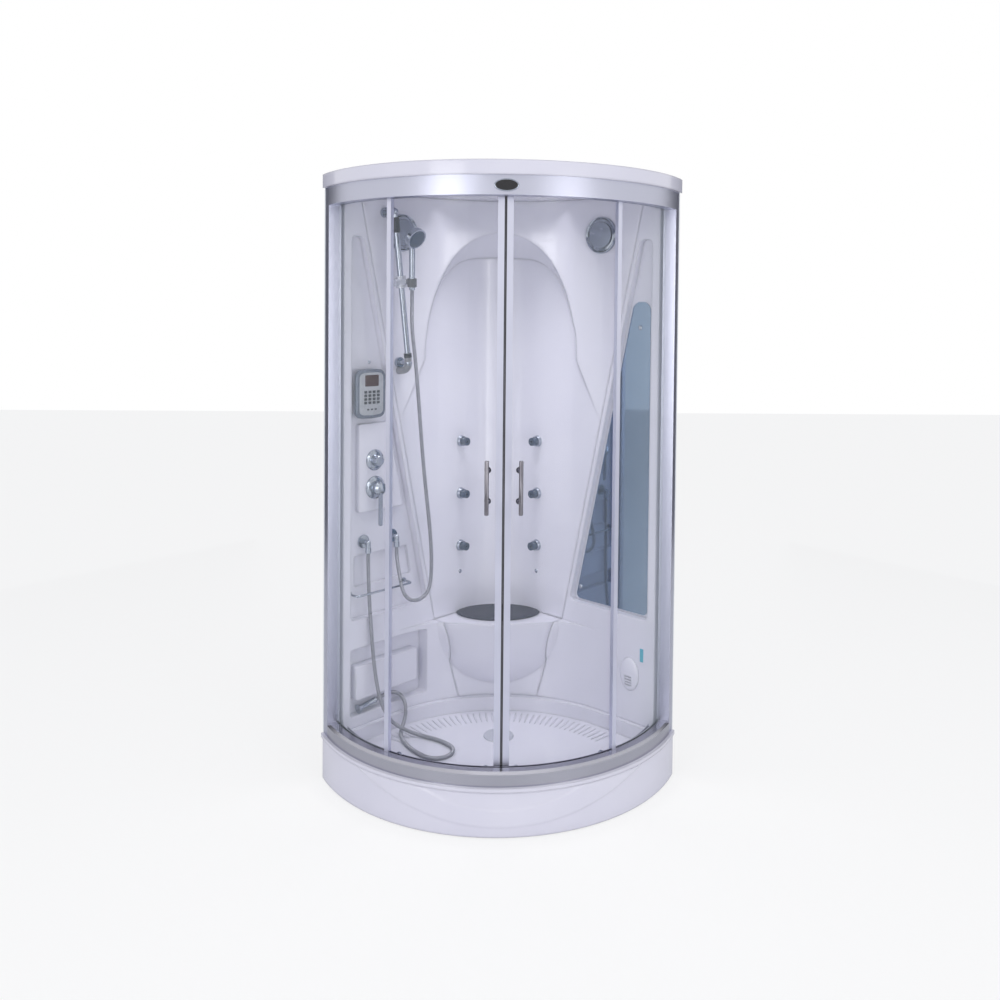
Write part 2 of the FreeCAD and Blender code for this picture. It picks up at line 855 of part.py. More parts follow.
def span(width, radius):
    """Angle that a width takes up at a radius, in degrees."""
    return width / radius * (180 / math.pi)


def make_fixed_glass():
    outline = box_outline(glass_inner, glass_outer, glass_bottom, glass_top)
    end = s.rail_end_angle - 0.03
    half = span(s.fixed_stile_width - s.rail_skin * 2, glass_outer) / 2
    sector("right_fixed_glass", [outline], s.stile_angle - half, end)
    sector("left_fixed_glass", [outline], -end, half - s.stile_angle)


def make_fixed_stiles():
    low = bottom_rail_top + s.fit_gap
    height = top_rail_level - s.fit_gap - low
    half = span(s.fixed_stile_width, glass_outer) / 2
    slot = half - span(s.rail_skin, glass_outer) + 0.02
    solids = []
    for sign in (-1, 1):
        centre = s.stile_angle * sign
        shape = ring_piece(glass_inner - s.fixed_stile_cover, glass_outer + s.fixed_stile_cover,
                           low, height, centre - half, centre + half)
        ends = sorted((float(centre - slot * sign), float(centre + half * sign * 1.1)))
        channel = ring_piece(glass_inner - s.slot_clearance, glass_outer + s.slot_clearance,
                             low, height, *ends)
        solids.append(shape.cut(channel))
    shape_part("fixed_stiles", group(solids))


def make_doors():
    glass = box_outline(door_inner, door_outer, door_bottom, door_top)
    magnet_start = span(s.magnet_gap, door_outer) / 2
    magnet_end = magnet_start + span(s.magnet_width, door_outer)
    centre_end = magnet_end + span(s.centre_stile_width, door_outer)
    outer_start = s.door_edge_angle - span(s.outer_stile_width, door_outer)
    stile_low = door_bottom
    stile_height = door_top - door_bottom
    for side, sign in (("left", -1), ("right", 1)):
        ends = (magnet_end, s.door_edge_angle)
        if sign < 0:
            ends = (-s.door_edge_angle, -magnet_end)
        panel = sector(f"{side}_door_glass", [glass], *ends)
        holes = []
        for angle in (s.wheel_near_angle, s.wheel_far_angle):
            for level in (wheel_level, guide_level):
                holes.append((angle * sign, level))
        pierce(panel, holes, ends[0])
        stiles = []
        for start, end in ((magnet_end, centre_end), (outer_start, s.door_edge_angle)):
            angles = sorted((float(start) * sign, float(end) * sign))
            bar = ring_piece(door_inner - s.door_stile_cover, door_outer + s.door_stile_cover,
                             stile_low, stile_height, *angles)
            core = ring_piece(door_inner - s.fit_gap, door_outer + s.fit_gap,
                              stile_low, stile_height, *angles)
            stiles.append(bar.cut(core))
        faces = [solid for stile in stiles for solid in stile.Solids]
        shape_part(f"{side}_door_stiles", group(faces))
        angles = sorted((float(magnet_start) * sign, float(magnet_end) * sign))
        seal = ring_piece(door_inner - s.door_stile_cover, door_outer + s.door_stile_cover,
                          stile_low, stile_height, *angles)
        shape_part(f"{side}_magnet_seal", seal)
        make_handle(side, sign)
        make_hangers(side, sign)


def pierce(panel, holes, start):
    """Round holes through a bent pane, at angles on the front arc and levels."""
    before = volume_of(panel)
    for angle, level in holes:
        turned = float(angle - start)
        sketch = new_sketch(panel, "YZ_Plane", f"Hole{len(panel.Group)}")
        sketch.AttachmentOffset = Placement(Vector(), Rotation(Vector(0, 1, 0), turned))
        draw_circle(sketch, 0, level, s.stud_hole_radius)
        hole = panel.newObject("PartDesign::Pocket", f"{panel.Name}_Hole{len(panel.Group)}")
        hole.Profile = sketch
        hole.Reversed = True
        bind(hole, Length=s.front_radius)
    if volume_of(panel) >= before:
        raise RuntimeError(f"{panel.Label}: holes cut nothing")


def make_handle(side, sign):
    bar_radius_place = door_outer + s.handle_reach
    outward = Vector(1, 0, 0)
    reach = float(s.handle_reach)
    bar = cylinder(s.handle_radius, s.handle_length, Vector(reach, 0, -float(s.handle_length) / 2))
    ends = [edge for edge in bar.Edges if edge.BoundBox.ZLength < 1e-6]
    pieces = [bar.makeFillet(float(s.handle_radius) * 0.4, ends)]
    for level in (-s.handle_spacing / 2, s.handle_spacing / 2):
        foot = Vector(float(s.fit_gap), 0, float(level))
        pieces.append(cylinder(s.standoff_radius, reach, foot, outward))
        cone = Part.makeCone(float(s.rosette_radius), float(s.standoff_radius),
                             float(s.rosette_height), foot, outward)
        pieces.append(cone)
    place = at_front(s.handle_angle * sign, bar_radius_place - s.handle_reach, s.handle_height)
    return shape_part(f"{side}_door_handle", fused(pieces), place)


def make_hangers(side, sign):
    """Studs through the door glass: the upper ones carry wheels, the lower ones guide."""
    track_middle = (track_inner + track_outer) / 2
    outward = Vector(1, 0, 0)
    solids = []
    for angle in (s.wheel_near_angle, s.wheel_far_angle):
        for level, guide in ((wheel_level, False), (guide_level, True)):
            start = track_middle - s.wheel_width / 2
            stud_end = door_outer + s.fit_gap + s.nut_width
            pieces = [cylinder(s.stud_radius, stud_end - start, Vector(float(start), 0, 0), outward)]
            flange = float(door_inner - s.fit_gap - s.stud_flange_width)
            pieces.append(cylinder(s.stud_flange_radius if not guide else s.nut_radius,
                                   s.stud_flange_width, Vector(flange, 0, 0), outward))
            nut = Vector(float(door_outer + s.fit_gap), 0, 0)
            pieces.append(cylinder(s.nut_radius, s.nut_width, nut, outward))
            if guide:
                pieces.append(cylinder(s.guide_radius, s.wheel_width, Vector(float(start), 0, 0), outward))
            solids.append(placed(fused(pieces), at_front(angle * sign, 0, level)))
    shape_part(f"{side}_door_hangers", group(solids))
    for place_name, angle in (("near", s.wheel_near_angle), ("far", s.wheel_far_angle)):
        lay_flat = Placement(Vector(), Rotation(Vector(0, 1, 0), 90))
        middle = at_front(angle * sign, track_middle - s.wheel_width / 2, wheel_level) * lay_flat
        wheel = new_body(f"{side}_{place_name}_wheel", middle)
        bore = s.stud_radius + s.running_clearance
        rim = s.wheel_radius
        turn(wheel, [[(bore, 0), (rim - 0.8, 0), (rim, 0.8), (rim, s.wheel_width - 0.8),
                      (rim - 0.8, s.wheel_width), (bore, s.wheel_width)]])


def make_roof():
    pan = quadrant(0, 0, roof_level, s.cabin_height)
    hollow = quadrant(s.roof_wall, s.roof_wall, roof_level + s.roof_wall, s.cabin_height + 1)
    return shape_part("roof", pan.cut(hollow))


# Moulded walls: a mass with smooth front faces, less the same mass set back by the wall thickness
def recess_slant():
    """How far the slanted edge of the recess moves along the wall per unit of height."""
    return float((s.recess_head - s.recess_foot) / (s.recess_top - s.recess_bottom))


def wall_prism(side, outline, n0, n1, radius=0):
    """Prism over an outline of (u, level) corners on a wall, between two distances off it."""
    wall, sign = SIDES[side]
    points = [Vector(sign * float(u), -float(n0), float(level)) for u, level in outline]
    face = Part.Face(Part.makePolygon(points + points[:1]))
    prism = face.extrude(Vector(0, float(n0) - float(n1), 0))
    if radius:
        edges = [edge for edge in prism.Edges
                 if abs(edge.tangentAt(edge.FirstParameter).y) > 0.999]
        prism = prism.makeFillet(float(radius), edges)
    return placed(prism, wall)


def recess_outline(grow):
    slant = recess_slant()
    lean = math.hypot(1, slant) * grow
    low = float(s.recess_bottom) - grow
    high = float(s.recess_top) + grow
    foot = float(s.recess_foot) - lean - grow * slant
    head = float(s.recess_head) - lean + grow * slant
    outer = float(s.recess_outer) + grow
    return [(foot, low), (outer, low), (outer, high), (head, high)]


def arch_cutter(inset):
    """Room of the alcove: an arch that grows wider towards the front."""
    inset = float(inset)
    faces = []
    for depth, rise in ((s.arch_back_depth, s.arch_back_rise), (s.arch_front_depth, s.arch_front_rise)):
        y = float(corner_y - depth)
        spring = float(s.arch_spring_level)
        half = float(s.arch_half_width) + inset
        top = float(rise) + inset
        foot = float(s.arch_foot_half_width) + inset
        foot_level = float(s.arch_foot_level)
        sill = float(s.seat_level) - inset
        centre = Vector(0, y, spring)
        crown = half_ellipse(centre, half, top)
        corners = [Vector(half, y, spring), Vector(foot, y, foot_level), Vector(foot, y, sill),
                   Vector(-foot, y, sill), Vector(-foot, y, foot_level), Vector(-half, y, spring)]
        lines = [Part.LineSegment(a, b).toShape() for a, b in zip(corners, corners[1:])]
        faces.append(Part.Wire(lines + [crown]))
    body = Part.makeLoft(faces, True, True)
    front = faces[1]
    run = Part.Face(front).extrude(Vector(0, -float(s.front_radius), 0))
    return body.fuse(run)


def half_ellipse(centre, half, top):
    """Upper half of an ellipse in the X-Z plane, from the left spring to the right one."""
    points = []
    for step in range(13):
        angle = math.pi * (1 - step / 12)
        points.append(centre + Vector(half * math.cos(angle), 0, top * math.sin(angle)))
    curve = Part.BSplineCurve()
    curve.interpolate(points, InitialTangent=Vector(0, 0, 1), FinalTangent=Vector(0, 0, -1))
    return curve.toShape()


def wall_mass(inset):
    """All that lies behind the moulded faces, each face set back by the inset."""
    inset = float(inset)
    bottom = float(s.tray_height + s.fit_gap) + inset
    top = float(roof_level - s.fit_gap) - inset
    length = float(s.panel_length) - inset
    back = -20.0 if inset else 0.0
    standoff = float(s.panel_standoff) - inset
    block = wall_square(back, length - back, bottom, top)
    room = wall_square(standoff, s.wall_length * 2, bottom - 1, top + 1, float(s.corner_radius) + inset)
    mass = block.cut(room)
    alcove = wall_square(standoff, s.wall_length * 2, float(s.seat_level) - inset, top,
                         float(s.alcove_radius) + inset)
    mass = mass.cut(arch_cutter(inset).common(alcove))
    centre = Vector(0, float(corner_y - s.belly_centre_depth), float(s.seat_level))
    bowl = Part.makeSphere(1)
    stretch = FreeCAD.Matrix()
    stretch.scale(float(s.belly_half_width) - inset, float(s.belly_reach) - inset,
                  float(s.belly_drop) - inset)
    bowl = bowl.transformGeometry(stretch)
    bowl.translate(centre)
    low_half = slab(-half_width, half_width, centre.y - float(s.front_radius), corner_y,
                    s.tray_height + s.fit_gap + inset, float(s.seat_level) - inset)
    inside = wall_square(back, float(s.panel_length), bottom, top)
    mass = mass.fuse(bowl.common(low_half).common(inside))
    far = float(s.front_radius)
    for side in SIDES:
        floor = float(recess_face) - inset
        mass = mass.cut(wall_prism(side, recess_outline(inset), floor, far, float(s.recess_fillet)))
        mass = mass.cut(disc_seat(side, inset))
    mass = mass.cut(wall_prism("left", pocket_outline(inset),
                               float(s.panel_standoff - s.pocket_depth) - inset, far,
                               float(s.pocket_fillet)))
    mass = mass.fuse(wall_prism("left", bin_outline(inset), back_of(inset),
                                float(s.bin_front) - inset, float(s.pocket_fillet)))
    mass = mass.fuse(wall_prism("left", valve_pad_outline(inset), back_of(inset),
                                float(recess_face + s.valve_pad_height) - inset, float(s.pocket_fillet)))
    mass = mass.cut(wall_prism("left", niche_outline(inset), float(recess_face - s.niche_depth) - inset,
                               float(recess_face) + 1, float(s.pocket_fillet)))
    return mass


def back_of(inset):
    """Where added masses start: at the wall, or behind it for the set-back mass."""
    return -20.0 if inset else 0.0


def pocket_outline(grow):
    return box_outline(float(s.pocket_inner) - grow, float(s.pocket_outer) + grow,
                       float(s.pocket_bottom) - grow, float(s.pocket_top) + grow)


def bin_outline(grow):
    return box_outline(float(s.bin_inner) + grow, float(s.bin_outer) - grow,
                       float(s.bin_bottom) + grow, float(s.bin_top) - grow)


def along_slant(level, offset):
    """Place along the wall at a distance outside the recess's slanted edge."""
    level = float(level)
    return float(s.recess_foot) + (level - float(s.recess_bottom)) * recess_slant() + float(offset)


def valve_pad_outline(grow):
    low = float(s.valve_pad_bottom) + grow
    high = float(s.valve_pad_top) - grow
    outer = float(s.valve_pad_outer) - grow
    side = float(s.valve_pad_side) + grow
    return [(along_slant(low, side), low), (outer, low), (outer, high), (along_slant(high, side), high)]


def niche_outline(grow):
    low = float(s.niche_bottom) - grow
    high = low + float(s.niche_height) + 2 * grow
    side = float(s.niche_side) - grow
    outer = float(s.recess_outer - s.niche_side) + grow
    return [(along_slant(low, side), low), (outer, low), (outer, high), (along_slant(high, side), high)]


def hood_surface(along):
    """Distance off the wall of the rounded hood at a place along it, and its slope in degrees."""
    radius = float(s.corner_radius)
    aside = max(float(s.panel_standoff) + radius - float(along), 0)
    off = float(s.panel_standoff) + radius - math.sqrt(radius ** 2 - aside ** 2)
    return off, math.degrees(math.asin(aside / radius))


def disc_place(side):
    """Centre of a round cover on the curved wall, its Z along the wall's normal there."""
    off, turn_angle = hood_surface(s.disc_along)
    sign = SIDES[side][1]
    return on_wall(side, s.disc_along, off, disc_level,
                   Rotation(Vector(0, 0, 1), sign * turn_angle)
                   * Rotation(Vector(1, 0, 0), 90))


def disc_seat(side, inset):
    """Flat round seat cut into the curved wall, with a hole for what sits behind it."""
    seat = cylinder(float(s.disc_radius) + 1 + inset, s.disc_height * 3, Vector(0, 0, -inset))
    return placed(seat, disc_place(side))


def seam_side(side, shift):
    """Block outside a slanted upright seam on one wall."""
    start = float(s.recess_foot - s.seam_inset) + shift
    slant = recess_slant()
    low, high = float(s.tray_height) - 50, float(s.cabin_height) + 50
    base = float(s.recess_bottom)
    far = float(s.wall_length) * 2
    outline = [(start + (low - base) * slant, low), (far, low), (far, high),
               (start + (high - base) * slant, high)]
    return wall_prism(side, outline, -100, float(s.panel_standoff) + 120)


def make_wall_panels():
    shell = wall_mass(0).cut(wall_mass(s.panel_wall))
    for side in SIDES:
        hole = cylinder(s.disc_body_radius + s.disc_hole_clearance, s.panel_standoff * 2,
                        Vector(0, 0, -float(s.panel_standoff)))
        shell = shell.cut(placed(hole, disc_place(side)))
    steam = facing("right", s.steam_along, 0, s.steam_level)
    shell = shell.cut(placed(cylinder(s.steam_pipe_radius + s.fit_gap, s.panel_standoff * 2), steam))
    for along, level in ((s.diverter_along, s.diverter_level), (s.mixer_along, s.mixer_level)):
        hole = cylinder(s.valve_body_radius + s.fit_gap, s.panel_standoff * 2)
        shell = shell.cut(placed(hole, facing("left", along, 0, level)))
    for along in (s.foot_elbow_along, s.handset_elbow_along):
        hole = cylinder(s.elbow_tube_radius + s.fit_gap, s.panel_standoff * 2)
        shell = shell.cut(placed(hole, facing("left", along, 0, s.elbow_level)))
    for side in SIDES:
        for level in jet_levels():
            hole = cylinder(s.jet_bore_radius + s.fit_gap, s.panel_standoff * 2)
            shell = shell.cut(placed(hole, facing(side, s.jet_along, 0, level)))
    gap = float(s.seam_gap) / 2
    corner = shell
    for side in SIDES:
        panel = shell.common(seam_side(side, gap))
        shape_part(f"{side}_wall_panel", biggest(panel))
        corner = corner.cut(seam_side(side, -gap))
    shape_part("corner_panel", biggest(corner))


def biggest(shape):
    """The main solid of a cut shell."""
    return max(shape.Solids, key=lambda solid: solid.Volume)


def jet_levels():
    return [s.jet_top_level - s.jet_pitch * index for index in range(3)]


# Fittings on the walls
def make_seat_pad():
    half = float(s.pad_half_width)
    back = float(s.pad_back_depth)
    front = float(s.pad_front_depth)
    middle = float(s.pad_tip_depth)
    level = float(s.seat_level + s.fit_gap)

    def outline(inset, height):
        y = float(corner_y)
        left = Vector(-half + inset * 1.6, y - middle, height)
        right = Vector(half - inset * 1.6, y - middle, height)
        rear = Vector(0, y - back - inset, height)
        nose = Vector(0, y - front + inset, height)
        arcs = [Part.Arc(left, rear, right).toShape(), Part.Arc(right, nose, left).toShape()]
        return Part.Wire(arcs)

    top = level + float(s.pad_height)
    edge = float(s.pad_crown)
    wires = [outline(edge * 0.5, level), outline(0, level + edge), outline(0, top - edge),
             outline(edge * 1.5, top - edge * 0.3), outline(edge * 4, top)]
    shape_part("seat_pad", Part.makeLoft(wires, True, True))


def mirror_outline():
    low, high = float(s.mirror_bottom), float(s.mirror_top)
    side = float(s.mirror_side)
    outer = float(s.mirror_outer)
    return [(along_slant(low, side), low), (outer, low), (outer, high), (along_slant(high, side), high)]


def mirror_blank(radius):
    """The mirror's outline as a plate, with all four corners rounded to one radius."""
    seat = recess_face + s.fit_gap
    return wall_prism("right", mirror_outline(), seat, seat + s.mirror_thickness, radius)


def make_mirror():
    """Mirror glass with small corners at its foot and wide ones at its head."""
    corners = mirror_outline()
    head_width = corners[2][0] - corners[3][0]
    head = mirror_blank(min(float(s.mirror_top_radius), head_width * 0.5))
    foot = mirror_blank(float(s.recess_fillet))
    middle = (float(s.mirror_bottom) + float(s.mirror_top)) / 2
    reach = float(s.wall_length)
    below = Part.makeBox(4 * reach, 4 * reach, middle, Vector(-2 * reach, -2 * reach, 0))
    shape_part("mirror", fused([head.cut(below), foot.common(below)]))


def make_disc(label, side):
    """Round cover with a raised ring and a body behind the wall."""
    body = new_body(label, disc_place(side))
    low = s.fit_gap
    ring = s.disc_radius - s.disc_ring_width
    face = s.disc_height * 0.55
    turn(body, [[(0, -s.disc_body_depth), (s.disc_body_radius, -s.disc_body_depth),
                 (s.disc_body_radius, low), (s.disc_radius, low),
                 (s.disc_radius - 2, s.disc_height - 2),
                 (s.disc_radius - s.disc_ring_width / 2, s.disc_height),
                 (ring, face), (0, face + 2)]])
    return body


def make_steam_outlet():
    """Egg-shaped cover with slots in front of the steam pipe."""
    place = facing("right", s.steam_along, s.panel_standoff + s.fit_gap, s.steam_level)
    wide, tall, height = float(s.steam_half_width), float(s.steam_half_height), float(s.steam_height)
    dome = Part.makeSphere(1)
    stretch = FreeCAD.Matrix()
    stretch.scale(wide, tall, height)
    dome = dome.transformGeometry(stretch)
    dome = dome.common(slab(-wide, wide, -tall, tall, 0, height))
    half_slot = float(s.steam_slot_width) / 2
    for index in range(4):
        y = (index + 0.5) * float(s.steam_slot_pitch) - tall * 0.72
        slot = slab(-half_slot, half_slot, y, y + float(s.steam_slot_height), height * 0.35, height * 2)
        dome = dome.cut(slot)
    pipe = cylinder(s.steam_pipe_radius, s.panel_standoff - s.fit_gap,
                    Vector(0, 0, -float(s.panel_standoff - s.fit_gap)))
    shape_part("steam_outlet", fused([dome, pipe]), place)


def make_control_panel():
    place = facing("left", s.control_along, recess_face + s.fit_gap, s.control_level)
    body = new_body("control_panel", place)
    half_w, half_h = s.control_width / 2, s.control_height / 2
    pad(body, [box_outline(-half_w, half_w, -half_h, half_h)], s.control_thickness)
    fillet(body, s.control_fillet, upright)
    fillet(body, s.control_fillet / 4, at_height(s.control_thickness))
    window_w, window_h = s.screen_width / 2, s.screen_height / 2
    pocket(body, [box_outline(-window_w, window_w, s.screen_rise - window_h, s.screen_rise + window_h)],
           s.screen_recess, level=s.control_thickness, reversed_way=False)


def make_shelf_rail():
    """Bent rod in front of the lower ledge, its ends turned back to round feet."""
    wall = SIDES["left"][0]
    off = float(recess_face + s.fit_gap)
    reach = float(s.shelf_reach)
    bend = float(s.shelf_rod_radius) * 3
    inner, outer = float(s.shelf_inner), float(s.shelf_outer)
    level = float(s.shelf_level)
    points = [Vector(-inner, -off, level), Vector(-inner, -reach, level),
              Vector(-outer, -reach, level), Vector(-outer, -off, level)]
    rod = tube_along(points, s.shelf_rod_radius, bend)
    feet = [cylinder(s.shelf_foot_radius, s.shelf_foot_height, Vector(u, -off, level), Vector(0, -1, 0))
            for u in (-inner, -outer)]
    shape_part("shelf_rail", fused([rod] + feet), wall)


def tube_along(points, radius, bend=None):
    """Round tube along straight runs joined by tangent arcs; bend fixes their radius."""
    route = Part.Wire(route_edges(points, bend)[0])
    circle = Part.Circle(points[0], points[1] - points[0], float(radius))
    tube = route.makePipeShell([Part.Wire(circle.toShape())], True, False)
    expected = math.pi * float(radius) ** 2 * route.Length
    if abs(tube.Volume / expected - 1) > 0.01:
        raise RuntimeError("tube volume is not its section times its length")
    return tube


def route_edges(points, bend=None):
    """Straight and arc edges of a route, and its least bend radius."""
    edges = []
    least = math.inf
    last = points[0]
    for before, point, after in zip(points, points[1:], points[2:]):
        into = (point - before).normalize()
        away = (after - point).normalize()
        half_turn = into.getAngle(away) / 2
        shorter = min((point - before).Length, (after - point).Length)
        radius = bend if bend else 0.45 * shorter / math.tan(half_turn)
        least = min(least, radius)
        trim = radius * math.tan(half_turn)
        first = point - into * trim
        end = point + away * trim
        inward = (away - into).normalize()
        middle = point + inward * (radius / math.cos(half_turn) - radius)
        edges.append(Part.LineSegment(last, first).toShape())
        edges.append(Part.Arc(first, middle, end).toShape())
        last = end
    edges.append(Part.LineSegment(last, points[-1]).toShape())
    return edges, least


def make_valves():
    seat = recess_face + s.valve_pad_height + s.fit_gap
    plate = s.valve_plate_height
    for label, along, level, radius in (
            ("diverter_body", s.diverter_along, s.diverter_level, s.diverter_plate_radius),
            ("mixer_body", s.mixer_along, s.mixer_level, s.mixer_plate_radius)):
        body = new_body(label, facing("left", along, seat, level))
        turn(body, [[(0, -s.valve_body_depth), (s.valve_body_radius, -s.valve_body_depth),
                     (s.valve_body_radius, 0), (radius, 0), (radius, plate * 0.5),
                     (radius - plate, plate), (s.valve_stem_radius, plate),
                     (s.valve_stem_radius, plate + s.valve_stem_height),
                     (0, plate + s.valve_stem_height)]])
    low = plate + s.fit_gap
    bore = s.valve_stem_radius + s.running_clearance
    bore_top = plate + s.valve_stem_height + s.fit_gap
    knob = new_body("diverter_knob", facing("left", s.diverter_along, seat, s.diverter_level))
    top = low + s.diverter_knob_height
    rim = s.diverter_knob_radius
    turn(knob, [[(bore, low), (rim - 2, low), (rim, low + 2), (rim - 3, top - 2), (rim - 5, top),
                 (0, top), (0, bore_top), (bore, bore_top)]])
    notches = [((rim + 2) * math.cos(math.pi * (index + 0.5) / 3),
                (rim + 2) * math.sin(math.pi * (index + 0.5) / 3), rim / 4) for index in range(6)]
    pocket(knob, notches, s.diverter_knob_height, level=low + 6, reversed_way=True)
    cap = new_body("mixer_cap", facing("left", s.mixer_along, seat, s.mixer_level))
    top = low + s.mixer_cap_height
    rim = s.mixer_cap_radius
    turn(cap, [[(bore, low), (rim, low), (rim, top - 8), (rim - 4, top - 2), (rim - 9, top),
                (0, top), (0, bore_top), (bore, bore_top)]])
    slot = s.lever_width / 2 + s.lever_slot_clearance
    pocket(cap, [box_outline(-slot, slot, -rim * 1.1, 4 - s.lever_start)], s.mixer_cap_height,
           level=low + s.lever_slot_floor, reversed_way=True)
    axle_bore = s.lever_axle_radius + s.running_clearance
    pocket(cap, [(-lever_pivot(), lever_height(), axle_bore)], rim * 2.2, role="YZ_Plane",
           level=rim * -1.1, reversed_way=True)
    make_lever(seat)


def lever_height():
    """Distance of the lever's axle from the valve plate's seat."""
    return s.valve_plate_height + s.mixer_cap_height - s.lever_below_top


def lever_pivot():
    """How far the lever's axle lies below the mixer's centre."""
    return s.lever_start + s.lever_thickness / 2


def make_lever(seat):
    """Thin lever that hangs from an axle in the mixer cap's slot."""
    place = facing("left", s.mixer_along, seat, s.mixer_level)
    half = float(s.lever_width) / 2
    thick = float(s.lever_thickness) / 2
    start = -float(s.lever_start)
    level = float(lever_height())
    blade = slab(-half, half, start - float(s.lever_length), start, level - thick, level + thick)
    ends = [edge for edge in blade.Edges if abs(edge.tangentAt(edge.FirstParameter).z) > 0.99
            and edge.BoundBox.YMax < start - 1]
    blade = blade.makeFillet(half * 0.9, ends)
    reach = float(s.lever_axle_half_length)
    axle = cylinder(s.lever_axle_radius, reach * 2, Vector(-reach, -float(lever_pivot()), level),
                    Vector(1, 0, 0))
    shape_part("mixer_lever", fused([blade, axle]), place)


def make_elbows():
    """Outlet elbows: a rosette on the wall, a short arm and a nut that points down."""
    seat = float(recess_face + s.fit_gap)
    solids = []
    for along in (s.foot_elbow_along, s.handset_elbow_along):
        place = facing("left", along, seat, s.elbow_level)
        reach = float(s.elbow_reach)
        drop = float(s.elbow_drop)
        nut = float(s.elbow_nut_height)
        back = float(s.panel_standoff) * 0.4
        arm = cylinder(s.elbow_tube_radius, reach + back, Vector(0, 0, -back))
        knee = Part.makeSphere(float(s.elbow_tube_radius), Vector(0, 0, reach))
        leg = cylinder(s.elbow_tube_radius, drop - nut / 2, Vector(0, 0, reach), Vector(0, -1, 0))
        sleeve = cylinder(s.elbow_nut_radius, nut, Vector(0, nut - drop, reach), Vector(0, -1, 0))
        rosette = cylinder(s.elbow_plate_radius, s.elbow_plate_height)
        solids.append(placed(fused([arm, knee, leg, sleeve, rosette]), place))
    shape_part("hose_elbows", group(solids))


def bar_frame():
    """Frame at the slide bar's lower end: Z along the bar, Y into the wall."""
    rise = float(s.bar_high_level - s.bar_low_level)
    run = float(s.bar_high_along - s.bar_low_along)
    lean = math.degrees(math.atan2(run, rise))
    off = s.panel_standoff + s.bar_reach
    return on_wall("left", s.bar_low_along, off, s.bar_low_level, Rotation(Vector(0, 1, 0), -lean))


def bar_length():
    return math.hypot(float(s.bar_high_level - s.bar_low_level), float(s.bar_high_along - s.bar_low_along))


def make_slide_bar():
    """Leaning chrome bar on two arms that stand on round feet."""
    length = bar_length()
    into = Vector(0, 1, 0)
    pieces = [cylinder(s.bar_radius, length)]
    for z, along in ((0, s.bar_low_along), (length, s.bar_high_along)):
        wall_off = hood_surface(along - s.bar_foot_radius)[0]
        reach = float(s.panel_standoff + s.bar_reach - s.fit_gap) - wall_off
        pieces.append(Part.makeSphere(float(s.bar_knee_radius), Vector(0, 0, z)))
        pieces.append(cylinder(s.bar_arm_radius, reach, Vector(0, 0, z), into))
        foot = Vector(0, reach - float(s.bar_foot_height), z)
        pieces.append(cylinder(s.bar_foot_radius, s.bar_foot_height, foot, into))
    shape_part("slide_bar", fused(pieces), bar_frame())


def slider_frame():
    return bar_frame() * Placement(Vector(0, 0, float(s.slider_place)), Rotation())


def pivot_frame():
    """Frame of the cradle's tilt axis: X along the axis, Y into the wall, Z along the bar."""
    reach = float(s.slider_radius + s.slider_arm_reach)
    return slider_frame() * Placement(Vector(0, -reach, 0), Rotation())


def grip_frame():
    """Frame on the handset's grip, at the middle of the cradle's ring."""
    return pivot_frame() * Placement(Vector(), handset_turn()) * Placement(
        Vector(0, -float(s.cradle_reach), 0), Rotation())


def make_slider():
    """Clamp round the bar with a side knob and a forked arm that holds the cradle's pin."""
    half = float(s.slider_height) / 2
    collar = cylinder(s.slider_radius, s.slider_height, Vector(0, 0, -half))
    fork = float(s.fork_width) / 2
    thick = float(s.fork_radius)
    pivot = -float(s.slider_radius + s.slider_arm_reach)
    yoke_face = pivot + thick + float(s.fork_clearance)
    yoke = slab(-fork, fork, yoke_face, -float(s.slider_radius) * 0.6, -thick, thick)
    inner = fork - float(s.fork_cheek)
    cheeks = []
    for x in (-fork, inner):
        cheeks.append(slab(x, x + s.fork_cheek, pivot, yoke_face + 1, -thick, thick))
        cheeks.append(cylinder(thick, s.fork_cheek, Vector(x, pivot, 0), Vector(1, 0, 0)))
    pin = cylinder(s.lever_axle_radius, s.fork_width, Vector(-fork, pivot, 0), Vector(1, 0, 0))
    knob = cylinder(s.slider_knob_radius, s.slider_knob_reach - s.slider_radius * 0.8,
                    Vector(-float(s.slider_knob_reach), 0, 0), Vector(1, 0, 0))
    clamp = fused([collar, yoke, knob, pin] + cheeks)
    bore = cylinder(s.bar_radius + s.fit_gap, s.slider_height * 2, Vector(0, 0, -2 * half))
    shape_part("bar_slider", clamp.cut(bore), slider_frame())


def handset_turn():
    return Rotation(Vector(1, 0, 0), float(s.handset_lean))


def make_cradle():
    """Ring that holds the grip, on a boss that tilts about the fork's pin."""
    half = float(s.cradle_height) / 2
    reach = float(s.cradle_reach)
    boss_half = float(s.fork_width) / 2 - float(s.fork_cheek) - float(s.fit_gap)
    across = Vector(1, 0, 0)
    boss = cylinder(s.fork_radius, boss_half * 2, Vector(-boss_half, 0, 0), across)
    neck = slab(-boss_half, boss_half, -reach, 0, -s.fork_radius * 0.8, s.fork_radius * 0.8)
    ring = cylinder(s.cradle_radius, s.cradle_height, Vector(0, -reach, -half))
    grip = cylinder(s.handle_grip_radius + s.fit_gap, s.cradle_height, Vector(0, -reach, -half))
    pin = cylinder(s.lever_axle_radius + s.running_clearance, s.fork_width,
                   Vector(-float(s.fork_width) / 2, 0, 0), across)
    shape = boss.fuse([neck, ring]).cut(grip).cut(pin)
    shape_part("handset_cradle", shape, pivot_frame() * Placement(Vector(), handset_turn()))


